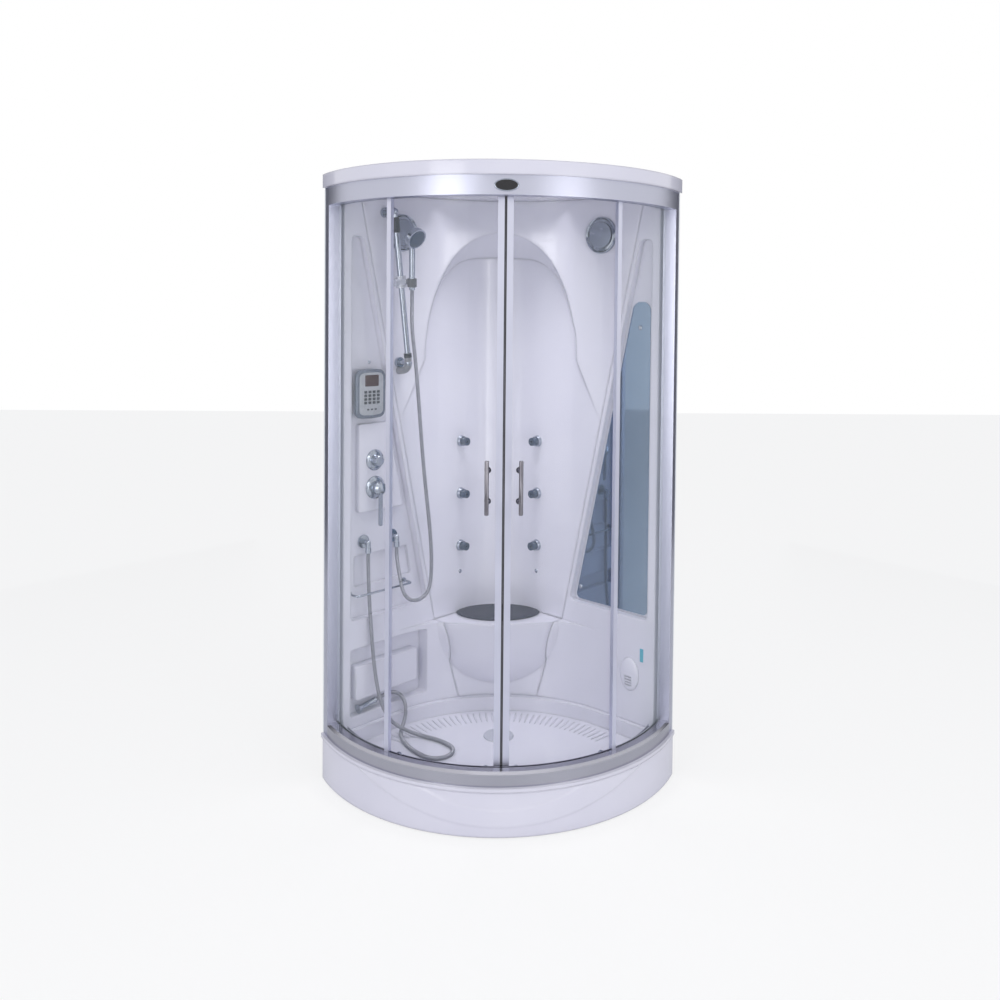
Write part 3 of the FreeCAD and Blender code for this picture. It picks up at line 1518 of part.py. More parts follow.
def make_handset():
    below, above = float(s.grip_below), float(s.grip_above)
    grip = cylinder(s.handle_grip_radius, below + above, Vector(0, 0, -below))
    shoulder = Part.makeCone(float(s.handle_grip_radius), float(s.handle_grip_radius) * 1.35,
                             float(s.head_rise) - above, Vector(0, 0, above))
    tilt = Rotation(Vector(1, 0, 0), 90 + float(s.head_tilt))
    head = cylinder(s.head_radius, s.head_thickness, Vector(0, 0, -float(s.head_thickness) / 3))
    rim = [edge for edge in head.Edges if edge.BoundBox.ZLength < 1e-6 and edge.BoundBox.ZMax < 0]
    head = head.makeFillet(float(s.head_thickness) * 0.35, rim)
    head = placed(head, Placement(Vector(0, -float(s.head_forward), float(s.head_rise)), tilt))
    shape_part("handset", fused([grip, shoulder, head]), grip_frame())


def hose(label, points):
    """Flexible hose through chosen points; its radii and length are printed."""
    edges, least = route_edges(points)
    length = sum(edge.Length for edge in edges)
    print(f"{label}: length {length:.0f} mm, least bend radius {least:.0f} mm")
    shape_part(label, tube_along(points, s.hose_radius))


def wall_point(side, along, off, level):
    return on_wall(side, along, off, level).Base


def elbow_end(along):
    """Middle of an elbow nut's lower face."""
    off = recess_face + s.fit_gap + s.elbow_reach
    return wall_point("left", along, off, s.elbow_level - s.elbow_drop)


def grip_end(drop=0):
    """Middle of the grip's lower face, or a point that far below it along the grip."""
    return grip_frame().multVec(Vector(0, 0, -float(s.grip_below) - drop))


def make_hoses():
    handset_route = [(627, 164, 1610), (606, 162, 1490), (585, 158, 1330), (562, 151, 1160),
                     (536, 143, 1010), (508, 133, 880), (490, 126, 765), (484, 120, 686),
                     (488, 117, 628), (508, 114, 598), (547, 110, 585), (586, 106, 598),
                     (606, 97, 630), (608, 80, 692)]
    nut = elbow_end(s.handset_elbow_along)
    points = [grip_end(), grip_end(60)] + [wall_point("left", *place) for place in handset_route]
    hose("handset_hose", points + [nut - Vector(0, 0, 38), nut])
    foot_route = [(736, 64, 615), (729, 70, 485), (724, 80, 370), (719, 95, 288),
                  (706, 113, 218), (676, 128, 168), (641, 144, 139), (603, 190, 117.5),
                  (580, 262, 117.5), (578, 325, 117.5), (589, 361, 117.5), (621, 384, 117.5),
                  (659, 384, 117.5), (691, 361, 117.5), (702, 318, 117.5), (692, 230, 117.5),
                  (650, 134, 117.5), (600, 104, 140), (575, 86, 178), (575, 68, 215),
                  (600, 55, 241), (640, 47, 243.3)]
    nut = elbow_end(s.foot_elbow_along)
    end = wall_point("left", s.sprayer_along, s.sprayer_off, s.sprayer_level)
    points = [nut, nut - Vector(0, 0, 62)] + [wall_point("left", *place) for place in foot_route]
    hose("foot_hose", points + [end])
    make_sprayer(points[-1], end)


def make_sprayer(before, end):
    """Small foot shower on the end of its hose."""
    along = end - before
    turned = Rotation(Vector(0, 0, 1), along)
    grip = cylinder(s.sprayer_radius, s.sprayer_length)
    head = Part.makeCone(float(s.sprayer_radius), float(s.sprayer_head_radius),
                         float(s.sprayer_head_length), Vector(0, 0, float(s.sprayer_length)))
    shape_part("foot_sprayer", fused([grip, head]), Placement(end, turned))


def make_jets():
    seat = s.panel_standoff + s.fit_gap
    centre = s.jet_plate_height + s.jet_ball_rise
    socket = s.jet_ball_radius + s.running_clearance
    plates = []
    for side in SIDES:
        for index, level in enumerate(jet_levels()):
            place = facing(side, s.jet_along, seat, level)
            plate = Part.makeCone(float(s.jet_plate_radius), float(s.jet_ball_radius) + 3,
                                  float(s.jet_plate_height))
            back = float(s.panel_standoff) * 0.5
            stem = cylinder(s.jet_bore_radius, back, Vector(0, 0, -back))
            ball = Part.makeSphere(float(socket), Vector(0, 0, float(centre)))
            plates.append(placed(plate.fuse(stem).cut(ball), place))
            row = ("upper", "middle", "lower")[index]
            make_jet_head(f"{side}_{row}_jet", place * Placement(Vector(0, 0, float(centre)), Rotation()))
    shape_part("jet_rosettes", group(plates))


def make_jet_head(label, place):
    """Ball with a short nose that ends in a wider spray face."""
    ball = Part.makeSphere(float(s.jet_ball_radius))
    face = cylinder(s.jet_face_radius, s.jet_face_height,
                    Vector(0, 0, float(s.jet_nose_length - s.jet_face_height)))
    nose = cylinder(s.jet_nose_radius, s.jet_nose_length).fuse(face)
    bore = cylinder(s.jet_bore_radius, s.jet_nose_length, Vector(0, 0, float(s.jet_nose_length) * 0.5))
    shape_part(label, ball.fuse(nose).cut(bore).removeSplitter(), place)


# Behind the walls
def make_generator():
    """Flat boiler behind the mirror, with a pipe down to the steam outlet."""
    wall = SIDES["right"][0]
    half = s.generator_width / 2
    far = s.generator_standoff + s.generator_depth
    box = slab(s.generator_along - half, s.generator_along + half, -far, -s.generator_standoff,
               s.generator_level, s.generator_level + s.generator_height)
    edges = [edge for edge in box.Edges if abs(edge.tangentAt(edge.FirstParameter).y) > 0.99]
    box = box.makeFillet(float(s.pipe_radius), edges)
    low = s.steam_level + s.steam_pipe_radius + s.fit_gap
    middle = s.generator_standoff + s.generator_depth / 2
    pipe = cylinder(s.pipe_radius, s.generator_level + 1 - low,
                    Vector(float(s.steam_along), -float(middle), float(low)))
    shape_part("steam_generator", fused([box, pipe]), wall)


def make_pipes():
    """Hot and cold pipes behind the left wall, from threaded inlets to the two valves."""
    wall = SIDES["left"][0]
    near, far = -float(s.pipe_offset), -float(s.inlet_offset)
    level = float(s.inlet_level)
    solids = []
    for along, end_along, end_level in (
            (s.hot_inlet_along, s.mixer_along, s.mixer_level),
            (s.cold_inlet_along, s.diverter_along, s.diverter_level)):
        u, top = -float(along), float(end_level)
        points = [Vector(u, -float(s.inlet_wall_gap), level), Vector(u, far, level),
                  Vector(u, far, (level + top) / 2),
                  Vector(u, near, top), Vector(-float(end_along), near, top)]
        inlet = cylinder(s.inlet_radius, s.inlet_length, points[0], Vector(0, -1, 0))
        solids.append(fused([tube_along(points, s.pipe_radius, float(s.pipe_bend)), inlet]))
    shape_part("supply_pipes", group(solids), wall)


make_tray()
make_apron()
make_frame()
make_feet()
make_drain()
make_rails()
make_channels()
make_wall_seals()
make_fixed_glass()
make_fixed_stiles()
make_doors()
make_roof()
make_wall_panels()
make_seat_pad()
make_mirror()
make_disc("speaker", "right")
make_disc("exhaust_fan", "left")
make_steam_outlet()
make_control_panel()
make_shelf_rail()
make_valves()
make_elbows()
make_slide_bar()
make_slider()
make_cradle()
make_handset()
make_hoses()
make_jets()
make_generator()
make_pipes()
doc.recompute()

for feature in doc.Objects:
    if "Invalid" in feature.State or "Error" in feature.State:
        raise RuntimeError(f"{feature.Name} failed: {feature.State}")
for label, feature in PARTS.items():
    if feature.Shape.isNull() or not feature.Shape.isValid() or not feature.Shape.Solids:
        raise RuntimeError(f"{label} has no valid solid")

os.makedirs("parts", exist_ok=True)
for label, feature in PARTS.items():
    feature.Shape.exportStep(f"parts/{label}.step")
print(f"{len(PARTS)} sub-parts, front depth {front_depth.value:.1f} mm")
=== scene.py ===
# %% [markdown]
# # A corner steam shower cabin
# The solids of the cabin are loaded as a fixed frame, in metres: +Z is up, the curved front
# faces -Y and the room corner is at +Y. Each cell below dresses one part of it. Pieces whose
# form is already right get their shape from the frame's own mesh, welded and smoothed.
# What repeats, such as keys, ridges, nubs and small holes, comes from Geometry Nodes.

# %% Load the frame
import json
import math

import bmesh
import bpy
from mathutils import Matrix, Vector


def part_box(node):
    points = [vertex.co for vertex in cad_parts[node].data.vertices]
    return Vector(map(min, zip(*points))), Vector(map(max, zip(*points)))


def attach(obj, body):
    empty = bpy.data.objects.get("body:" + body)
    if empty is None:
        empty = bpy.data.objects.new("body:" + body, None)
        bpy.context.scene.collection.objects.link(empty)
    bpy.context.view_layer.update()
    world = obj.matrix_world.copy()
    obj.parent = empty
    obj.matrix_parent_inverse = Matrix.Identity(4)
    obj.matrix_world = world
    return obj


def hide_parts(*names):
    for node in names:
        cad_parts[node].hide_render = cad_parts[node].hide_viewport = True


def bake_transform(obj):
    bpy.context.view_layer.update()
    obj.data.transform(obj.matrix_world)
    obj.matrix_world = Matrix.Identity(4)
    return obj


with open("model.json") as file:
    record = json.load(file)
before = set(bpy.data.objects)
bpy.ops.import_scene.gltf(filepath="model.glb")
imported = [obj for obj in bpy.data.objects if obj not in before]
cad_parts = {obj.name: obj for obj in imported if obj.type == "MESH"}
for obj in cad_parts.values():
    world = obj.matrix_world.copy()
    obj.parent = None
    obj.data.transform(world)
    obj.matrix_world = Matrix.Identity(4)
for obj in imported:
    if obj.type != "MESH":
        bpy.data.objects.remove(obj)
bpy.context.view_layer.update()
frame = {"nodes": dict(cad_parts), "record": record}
BODY_OF = {node: body for body, nodes in frame["record"]["behaviour"]["bodies"].items()
           for node in nodes}

# %% [markdown]
# ## Places
# Two straight walls meet at the corner, and everything on them is placed by its distance
# along the wall, off the wall and above the floor. The front parts lie on an arc, and are
# placed by an angle and a radius. Two small functions turn such places into matrices.

# %% Places on the walls and on the front arc
MM = 0.001
ROOT2 = math.sqrt(2)
CORNER_Y = 0.525  # the room corner
ARC_Y = 0.1714  # the centre of the front arc
PANEL = 0.055  # from the room wall to the face of the wall panels
RECESS = 0.028  # from the room wall to the floor of their recesses


def wall_point(side, along, off, level):
    """A point by its distance along a wall, off it and above the floor."""
    sign = -1 if side == "left" else 1
    return Vector((sign * (along - off) / ROOT2, CORNER_Y - (along + off) / ROOT2, level))


def on_wall(side, along, off, level):
    """Matrix with X to the right and Y up on a wall, as seen from inside, and Z off the wall."""
    sign = 1 if side == "left" else -1
    half = 1 / ROOT2
    across = Vector((half, sign * half, 0))
    up = Vector((0, 0, 1))
    outward = Vector((sign * half, -half, 0))
    turn = Matrix((across, up, outward)).transposed().to_4x4()
    return Matrix.Translation(wall_point(side, along, off, level)) @ turn


def on_front(angle, radius, level):
    """Matrix on the front arc: X points outwards, Y to the right along the arc, Z up."""
    turn = Matrix.Rotation(math.radians(angle - 90), 4, "Z")
    return Matrix.Translation((0, ARC_Y, level)) @ turn @ Matrix.Translation((radius, 0, 0))


print("left valve at", tuple(round(v, 3) for v in wall_point("left", 0.699, 0, 1.026)))

# %% [markdown]
# ## Shader maths as ordinary Python
# A material is a small tree of nodes. Writing `mask * 0.3 + 0.1` is easier to read than two
# Math nodes, so a class wraps a socket and turns each operator into its node. Every other
# node comes from one function that sets the node's settings first and its sockets after.

# %% Nodes for any tree
def feed(tree, socket, value):
    """Give a socket a link or a plain value."""
    if isinstance(value, Number):
        value = value.socket
    if isinstance(value, bpy.types.NodeSocket):
        tree.links.new(value, socket)
    else:
        socket.default_value = value


def add_node(tree, kind, settings=None, values=None):
    """A new node; values are keyed by the names or the numbers of its inputs."""
    made = tree.nodes.new(kind)
    for name, value in (settings or {}).items():
        setattr(made, name, value)
    for key, value in (values or {}).items():
        feed(tree, made.inputs[key], value)
    return made


# %% Sockets with operators
class Number:
    """An output socket that holds a number, with maths by operators."""

    def __init__(self, look, socket):
        self.look = look
        self.socket = socket

    def math(self, operation, *others):
        node = self.look.node("ShaderNodeMath", {"operation": operation},
                              dict(enumerate((self, *others))))
        return Number(self.look, node.outputs[0])

    def __add__(self, other):
        return self.math("ADD", other)

    def __sub__(self, other):
        return self.math("SUBTRACT", other)

    def __mul__(self, other):
        return self.math("MULTIPLY", other)

    def above(self, edge, soft):
        """Rises from 0 to 1 round an edge, over a soft width."""
        return ((self - (edge - soft / 2)) * (1 / soft)).math("MINIMUM", 1).math("MAXIMUM", 0)


class Look:
    """One material with its Principled shader."""

    def __init__(self, name, colour, rough, metal=0.0, **more):
        self.material = bpy.data.materials.new(name)
        self.material.use_nodes = True
        self.tree = self.material.node_tree
        self.shader = self.tree.nodes["Principled BSDF"]
        self.set(**{"Base Color": (*colour, 1), "Roughness": rough, "Metallic": metal, **more})

    def node(self, kind, settings=None, values=None):
        return add_node(self.tree, kind, settings, values)

    def set(self, **values):
        for name, value in values.items():
            feed(self.tree, self.shader.inputs[name], value)

    def place(self, scale=(1, 1, 1)):
        """Object coordinates, scaled along each axis."""
        where = self.node("ShaderNodeTexCoord").outputs["Object"]
        mapping = self.node("ShaderNodeMapping", None, {"Vector": where, "Scale": scale})
        return mapping.outputs["Vector"]

    def noise(self, size, detail=3.0, stretch=(1, 1, 1)):
        """Noise whose patches are about size metres across."""
        made = self.node("ShaderNodeTexNoise", None,
                         {"Vector": self.place(stretch), "Scale": 1 / size, "Detail": detail})
        return Number(self, made.outputs["Fac"])

    def cells(self, size):
        """Distance from the middle of cells that are about size metres across."""
        made = self.node("ShaderNodeTexVoronoi", None,
                         {"Vector": self.place(), "Scale": 1 / size})
        return Number(self, made.outputs["Distance"])

    def tint(self, mask, dark, light):
        """Base colour that goes from dark to light with a mask."""
        mix = self.node("ShaderNodeMix", {"data_type": "RGBA"},
                        {"Factor": mask, 6: (*dark, 1), 7: (*light, 1)})
        self.set(**{"Base Color": mix.outputs[2]})

    def bump(self, height, depth, strength=1.0, soften=0.0):
        """Relief from a height; soften rounds off edges by that radius in metres."""
        values = {"Height": height, "Distance": depth, "Strength": strength}
        if soften:
            edge = self.node("ShaderNodeBevel", {"samples": 4}, {"Radius": soften})
            values["Normal"] = edge.outputs["Normal"]
        self.set(Normal=self.node("ShaderNodeBump", None, values).outputs["Normal"])


LOOKS = {}


def keep(slot, look):
    """Store a finished look under its slot."""
    LOOKS[slot] = look.material
    print(slot, "has", len(look.tree.nodes), "nodes")


# %% [markdown]
# ## White acrylic
# The tray, the roof and the moulded walls are vacuum-formed acrylic: white with a cool cast,
# glossy, and never perfectly flat, because the sheet sags a little over the mould. Broad
# shallow noise gives that wander in the reflections, and fine noise breaks up the gloss.
# Moulded edges are never sharp, so the shading rounds them, and more so on the corner panel.

# %% Acrylic
EDGE_RADIUS = 0.010
CORNER_EDGE_RADIUS = 0.015
acrylic = Look("white_acrylic", (0.70, 0.69, 0.79), 0.16,
               **{"Coat Weight": 0.5, "Coat Roughness": 0.05})
wander = acrylic.noise(0.32, 2)
acrylic.tint(wander.above(0.5, 0.5), (0.665, 0.655, 0.755), (0.715, 0.705, 0.795))
acrylic.set(Roughness=acrylic.noise(0.05, 4) * 0.08 + 0.13)
acrylic.bump(wander + acrylic.noise(0.012, 2) * 0.02, 0.004, 0.35, soften=EDGE_RADIUS)
keep("white_acrylic", acrylic)
SOFT = acrylic.material.copy()
for knot in SOFT.node_tree.nodes:
    if knot.type == "BEVEL":
        knot.inputs["Radius"].default_value = CORNER_EDGE_RADIUS

# %% [markdown]
# ## Metals
# The rails and stiles are satin anodised aluminium with faint drawing lines along their
# length. Handles, valves and covers are chrome on brass. Frame and feet are zinc-plated.

# %% Aluminium, chrome and plated steel
satin = Look("satin_aluminium", (0.50, 0.51, 0.61), 0.26, 1.0)
lines = satin.noise(0.004, 3, (1, 1, 14))
satin.tint(lines, (0.46, 0.47, 0.57), (0.57, 0.58, 0.68))
satin.set(Roughness=lines * 0.16 + 0.24)
satin.bump(lines, 0.0004, 0.3)
keep("satin_aluminium", satin)

chrome = Look("chrome", (0.58, 0.60, 0.65), 0.07, 1.0)
chrome.set(Roughness=chrome.noise(0.02, 4) * 0.08 + 0.04)
chrome.tint(chrome.noise(0.03, 2), (0.33, 0.36, 0.43), (0.44, 0.47, 0.54))
keep("chrome", chrome)

zinc = Look("galvanised_steel", (0.55, 0.56, 0.57), 0.5, 0.8)
spangle = zinc.cells(0.012)
zinc.tint(spangle * 1.4, (0.46, 0.47, 0.48), (0.66, 0.67, 0.68))
zinc.set(Roughness=spangle * 0.25 + 0.35)
keep("galvanised_steel", zinc)

boiler = Look("boiler_steel", (0.6, 0.6, 0.61), 0.35, 1.0)
brushing = boiler.noise(0.003, 3, (1, 1, 20))
boiler.tint(brushing, (0.52, 0.52, 0.53), (0.68, 0.68, 0.69))
boiler.set(Roughness=brushing * 0.2 + 0.25)
keep("boiler_steel", boiler)

brass = Look("pipe_brass", (0.72, 0.55, 0.28), 0.3, 1.0)
tarnish = brass.noise(0.03, 4)
brass.tint(tarnish.above(0.5, 0.4), (0.55, 0.40, 0.20), (0.78, 0.61, 0.33))
brass.set(Roughness=tarnish * 0.3 + 0.18)
keep("pipe_brass", brass)

# %% [markdown]
# ## Glass and mirror
# The panes are six millimetres of clear glass. Seen straight on they nearly vanish, and they
# whiten towards grazing angles. A transparent shader would lose its gloss, so the alpha
# itself rises with the facing angle. The mirror has the blue-grey tint of coated glass.

# %% Clear glass and mirror
pane = Look("clear_glass", (0.80, 0.90, 0.92), 0.03, **{"Coat Weight": 0.6})
facing = Number(pane, pane.node("ShaderNodeLayerWeight", None, {"Blend": 0.35}).outputs["Facing"])
drips = pane.noise(0.05, 3, (1, 1, 0.15))
pane.set(Alpha=facing.math("POWER", 3.0) * 0.5 + 0.035 + drips * 0.015)
pane.set(Roughness=drips * 0.04 + 0.01)
keep("clear_glass", pane)

mirror = Look("mirror_glass", (0.19, 0.26, 0.38), 0.03, 1.0)
haze = mirror.noise(0.12, 3)
mirror.tint(haze, (0.175, 0.24, 0.355), (0.205, 0.28, 0.40))
mirror.set(Roughness=haze * 0.05 + 0.01)
keep("mirror_glass", mirror)

# %% [markdown]
# ## Plastics, rubber and foam
# Dark magnet strips close the doors, milky strips seal the panes, and the seat has a foam pad
# with a fine leathery skin. Hoses, nozzles and the slider are moulded plastic.

# %% Plastics and rubber
def plain(slot, dark, light, rough, patch=0.02, grain=0.0, metal=0.0, **more):
    """A moulded finish: two close colours, uneven gloss and, if asked, a fine grain."""
    look = Look(slot, dark, rough, metal, **more)
    patches = look.noise(patch, 3)
    look.tint(patches, dark, light)
    look.set(Roughness=patches * 0.14 + (rough - 0.07))
    if grain:
        look.bump(look.cells(grain), grain * 0.35, 0.5)
    keep(slot, look)
    return look


plain("dark_seal", (0.010, 0.009, 0.012), (0.022, 0.020, 0.024), 0.6, grain=0.0015)
plain("clear_seal", (0.62, 0.65, 0.68), (0.72, 0.75, 0.78), 0.4)
plain("wheel_plastic", (0.72, 0.72, 0.70), (0.80, 0.80, 0.78), 0.35)
plain("charcoal_pad", (0.030, 0.030, 0.054), (0.045, 0.045, 0.075), 0.65, 0.05, grain=0.0022,
      **{"Specular IOR Level": 0.2})
plain("control_white", (0.33, 0.34, 0.38), (0.40, 0.41, 0.45), 0.28, 0.05)
plain("slider_grey", (0.075, 0.075, 0.09), (0.11, 0.11, 0.13), 0.25)
plain("spray_blue", (0.022, 0.038, 0.085), (0.045, 0.070, 0.130), 0.2)
plain("hose_grey", (0.22, 0.22, 0.26), (0.32, 0.32, 0.37), 0.3, metal=0.5)
plain("drain_plastic", (0.62, 0.62, 0.61), (0.70, 0.70, 0.69), 0.4)

# %% Finishes without a slot of their own
EXTRA = {"soft_acrylic": SOFT}


def extra(name, *args, **more):
    EXTRA[name] = plain(name, *args, **more).material


extra("display_dark", (0.030, 0.005, 0.009), (0.050, 0.008, 0.012), 0.2, 0.01,
      **{"Specular IOR Level": 0.2})
extra("key_silver", (0.10, 0.12, 0.17), (0.16, 0.18, 0.24), 0.25, metal=0.3)
extra("cover_grey", (0.24, 0.27, 0.37), (0.30, 0.33, 0.43), 0.25, metal=0.4)
# Stiles: the satin aluminium made lighter, a painted highlight for the bright lines that light
# draws along them.
extra("satin_painted_highlight", (0.60, 0.61, 0.73), (0.67, 0.68, 0.80), 0.34, 0.1, metal=1.0)
# Handles: chrome with dark brownish patches, painted dark reflections.
extra("chrome_painted_dark_reflection", (0.10, 0.09, 0.11), (0.42, 0.41, 0.44), 0.1, 0.09, metal=1.0)
extra("elbow_grey", (0.20, 0.20, 0.23), (0.27, 0.27, 0.30), 0.3)
extra("pale_chrome", (0.50, 0.51, 0.58), (0.60, 0.61, 0.68), 0.22, metal=0.3)
# Bottom rail: the satin aluminium made darker, painted shade on the low rail.
extra("rail_satin_painted_shade", (0.40, 0.40, 0.455), (0.46, 0.46, 0.515), 0.25, 0.2, metal=1.0)
extra("badge_black", (0.008, 0.008, 0.010), (0.016, 0.016, 0.020), 0.12)
extra("teal_strip", (0.02, 0.30, 0.42), (0.04, 0.38, 0.50), 0.3)
# Dark grey: the real colour of the keys and the slide bar's collars, and painted shade on the
# flat discs that stand for holes in the covers and nozzles.
extra("dark_plastic_and_hole_shade", (0.018, 0.019, 0.030), (0.032, 0.034, 0.050), 0.4)

# %% [markdown]
# ## Room, light and camera
# The background is white only to the camera, mirrors and glass, and the floor glows only to
# the camera, so neither adds light. Three large soft lamps and a small one under the roof
# give the moulded walls their shading. Dark boards beside the cabin show in reflections only.
# The camera stands in front of it at eye height, a little left of its middle.

# %% Floor, background and lamps
def white_room():
    world = bpy.data.worlds.new("room")
    bpy.context.scene.world = world
    world.use_nodes = True
    tree = world.node_tree
    ray = add_node(tree, "ShaderNodeLightPath").outputs
    seen = add_node(tree, "ShaderNodeMath", {"operation": "MAXIMUM"},
                    {0: ray["Is Camera Ray"], 1: ray["Is Glossy Ray"]})
    clear = add_node(tree, "ShaderNodeMath", {"operation": "MAXIMUM"},
                     {0: seen.outputs[0], 1: ray["Is Transmission Ray"]})
    soft = tree.nodes["Background"]
    soft.inputs["Color"].default_value = (0.93, 0.95, 1.0, 1)
    soft.inputs["Strength"].default_value = 0.68
    white = add_node(tree, "ShaderNodeBackground", None, {"Color": (1, 1, 1, 1)})
    mix = add_node(tree, "ShaderNodeMixShader", None,
                   {0: clear.outputs[0], 1: soft.outputs[0], 2: white.outputs[0]})
    feed(tree, tree.nodes["World Output"].inputs["Surface"], mix.outputs[0])


def floor_look():
    look = Look("floor", (0.86, 0.86, 0.87), 0.6)
    ray = look.node("ShaderNodeLightPath").outputs
    glow = look.node("ShaderNodeEmission", None, {"Color": (1, 1, 1, 1)})
    share = Number(look, ray["Is Camera Ray"]) * 0.75
    mix = look.node("ShaderNodeMixShader", None,
                    {0: share, 1: look.shader.outputs[0], 2: glow.outputs[0]})
    feed(look.tree, look.tree.nodes["Material Output"].inputs["Surface"], mix.outputs[0])
    return look.material


def lamp(name, place, aim, size, power, spread=180):
    """A soft rectangular lamp that points at a place; its spread is in degrees."""
    light = bpy.data.lights.new(name, "AREA")
    light.shape = "RECTANGLE"
    light.size, light.size_y = size
    light.energy = power
    light.spread = math.radians(spread)
    shown = bpy.data.objects.new(name, light)
    shown.location = place
    shown.rotation_euler = (Vector(aim) - Vector(place)).to_track_quat("-Z", "Y").to_euler()
    bpy.context.collection.objects.link(shown)


white_room()
bpy.ops.mesh.primitive_plane_add(size=24, location=(0, 0, -0.0005))
ground = bpy.context.object
ground.name = "floor"
ground.data.materials.append(floor_look())
lamp("overhead", (0.2, -0.6, 4.2), (0, 0.1, 1.2), (2.6, 2.6), 28)
lamp("front_left", (-2.2, -3.6, 1.5), (0, 0, 0.9), (1.4, 2.4), 32)
lamp("front_right", (2.4, -3.4, 1.3), (0, 0, 0.9), (1.4, 2.4), 26)
lamp("ceiling", (0, -0.05, 2.08), (0, -0.02, 0), (0.5, 0.4), 2.1, spread=80)


# %% Dark boards that give chrome and aluminium something to reflect
def card(name, centre, wide, high):
    """An upright dark board that only reflections see; it faces the cabin."""
    middle = Vector(centre)
    across = Vector((-middle.y, middle.x, 0)).normalized() * wide / 2
    up = Vector((0, 0, high / 2))
    corners = [middle - across - up, middle + across - up, middle + across + up,
               middle - across + up]
    mesh = bpy.data.meshes.new(name)
    mesh.from_pydata(corners, [], [(0, 1, 2, 3)])
    mesh.materials.append(LOOKS["card"])
    board = bpy.data.objects.new(name, mesh)
    bpy.context.collection.objects.link(board)
    board.visible_camera = False
    board.visible_diffuse = False
    board.visible_shadow = False
    board.visible_transmission = False


keep("card", Look("card", (0.035, 0.04, 0.06), 0.9))
for name, centre, wide, high in (("card_left", (-2.6, 2.5, 1.4), 2.6, 3.4),
                                 ("card_right", (2.9, 2.5, 1.4), 2.2, 3.4),
                                 ("card_near_left", (-2.3, -4.2, 1.2), 0.8, 2.4),
                                 ("card_near_right", (2.4, -4.2, 1.2), 0.7, 2.4)):
    card(name, centre, wide, high)

# %% Camera
def photo_camera():
    """The camera fitted to the long edges in the photo; pixels count from the top left."""
    yaw, pitch, roll = -0.0397, 0.0301, 0.0094
    place = (-0.0735, CORNER_Y - 4.017, 1.683)
    pixels = 1000
    focal_pixels = 950.8
    centre_x, centre_y = 519.57, 338.06
    sensor = 36
    forward = Vector((math.sin(-yaw) * math.cos(pitch), math.cos(yaw) * math.cos(pitch),
                      -math.sin(pitch)))
    right = Vector((math.cos(yaw), -math.sin(-yaw), 0))
    up = right.cross(forward)
    across = right * math.cos(roll) + up * math.sin(roll)
    upward = up * math.cos(roll) - right * math.sin(roll)
    turn = Matrix((across, upward, -forward)).transposed().to_4x4()
    data = bpy.data.cameras.new("photo_view")
    data.sensor_width = sensor
    data.lens = focal_pixels * sensor / pixels
    data.shift_x = (pixels / 2 - centre_x) / pixels
    data.shift_y = (centre_y - pixels / 2) / pixels
    shown = bpy.data.objects.new("photo_view", data)
    shown.matrix_world = Matrix.Translation(place) @ turn
    bpy.context.collection.objects.link(shown)
    bpy.context.scene.camera = shown


photo_camera()
bpy.context.scene.view_settings.view_transform = "Standard"
print("camera set")

# %% [markdown]
# ## Making pieces
# Every new piece ends the same way: its mesh gets one finish and smooth normals with sharp
# edges kept, it is linked at the origin, rides on its body if any, and may replace frame nodes.
# Most new skins run over rings of points, so a few functions make faces between rings.

# %% Finishing a piece
SMOOTH_BELOW = 32  # degrees between faces
WELD = 1e-5
SLIVER = 1e-6


def finish_piece(name, mesh, slot, body="cabin", nodes=(), angle=SMOOTH_BELOW, look=None):
    """Object from a mesh whose place is already in its vertices; without a body it rides on none.
    """
    mesh.materials.clear()
    mesh.materials.append(look or LOOKS[slot])
    mesh.polygons.foreach_set("material_index", [0] * len(mesh.polygons))
    mesh.polygons.foreach_set("use_smooth", [True] * len(mesh.polygons))
    mesh.set_sharp_from_angle(angle=math.radians(angle))
    piece = bpy.data.objects.new(name, mesh)
    bpy.context.collection.objects.link(piece)
    if body:
        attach(piece, body)
    if nodes:
        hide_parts(*nodes)
    return piece


def carried(node, slot, look=None):
    """The frame's own form, welded and smoothed, in its finish."""
    mesh = frame["nodes"][node].data.copy()
    if "custom_normal" in mesh.attributes:
        mesh.attributes.remove(mesh.attributes["custom_normal"])
    shape = bmesh.new()
    shape.from_mesh(mesh)
    bmesh.ops.remove_doubles(shape, verts=shape.verts, dist=WELD)
    bmesh.ops.dissolve_degenerate(shape, edges=shape.edges, dist=SLIVER)
    shape.to_mesh(mesh)
    shape.free()
    return finish_piece(node + "_skin", mesh, slot, BODY_OF[node], [node], look=look)


# %% Skins over rings of points
def bands(shape, loops):
    """Faces between closed rings that follow each other."""
    for low, high in zip(loops, loops[1:]):
        for k in range(len(low)):
            n = (k + 1) % len(low)
            shape.faces.new((low[k], low[n], high[n], high[k]))


def closed(shape, loops):
    """The same, with a face over each end."""
    bands(shape, loops)
    shape.faces.new(loops[-1])
    shape.faces.new(loops[0][::-1])


def gathered(shape, ring, middle):
    """Triangles from a ring to a point in its middle."""
    for k in range(len(ring)):
        shape.faces.new((ring[k], ring[(k + 1) % len(ring)], middle))


def as_mesh(shape, name):
    mesh = bpy.data.meshes.new(name)
    shape.to_mesh(mesh)
    shape.free()
    return mesh


def quarter_turn(steps):
    """Angles of a rounded edge, from its foot to its top."""
    return [math.pi / 2 * k / steps for k in range(steps + 1)]


# %% [markdown]
# ## Hoses
# A shower hose is a smooth curve that hangs under its own weight. Its line is a NURBS spline
# through the control points of its route. The skin is a corrugated metal-look sheath, so
# rings of changing radius follow the spline, four to each rib. Routes are given as distance
# along the left wall, distance off it and height, in millimetres.

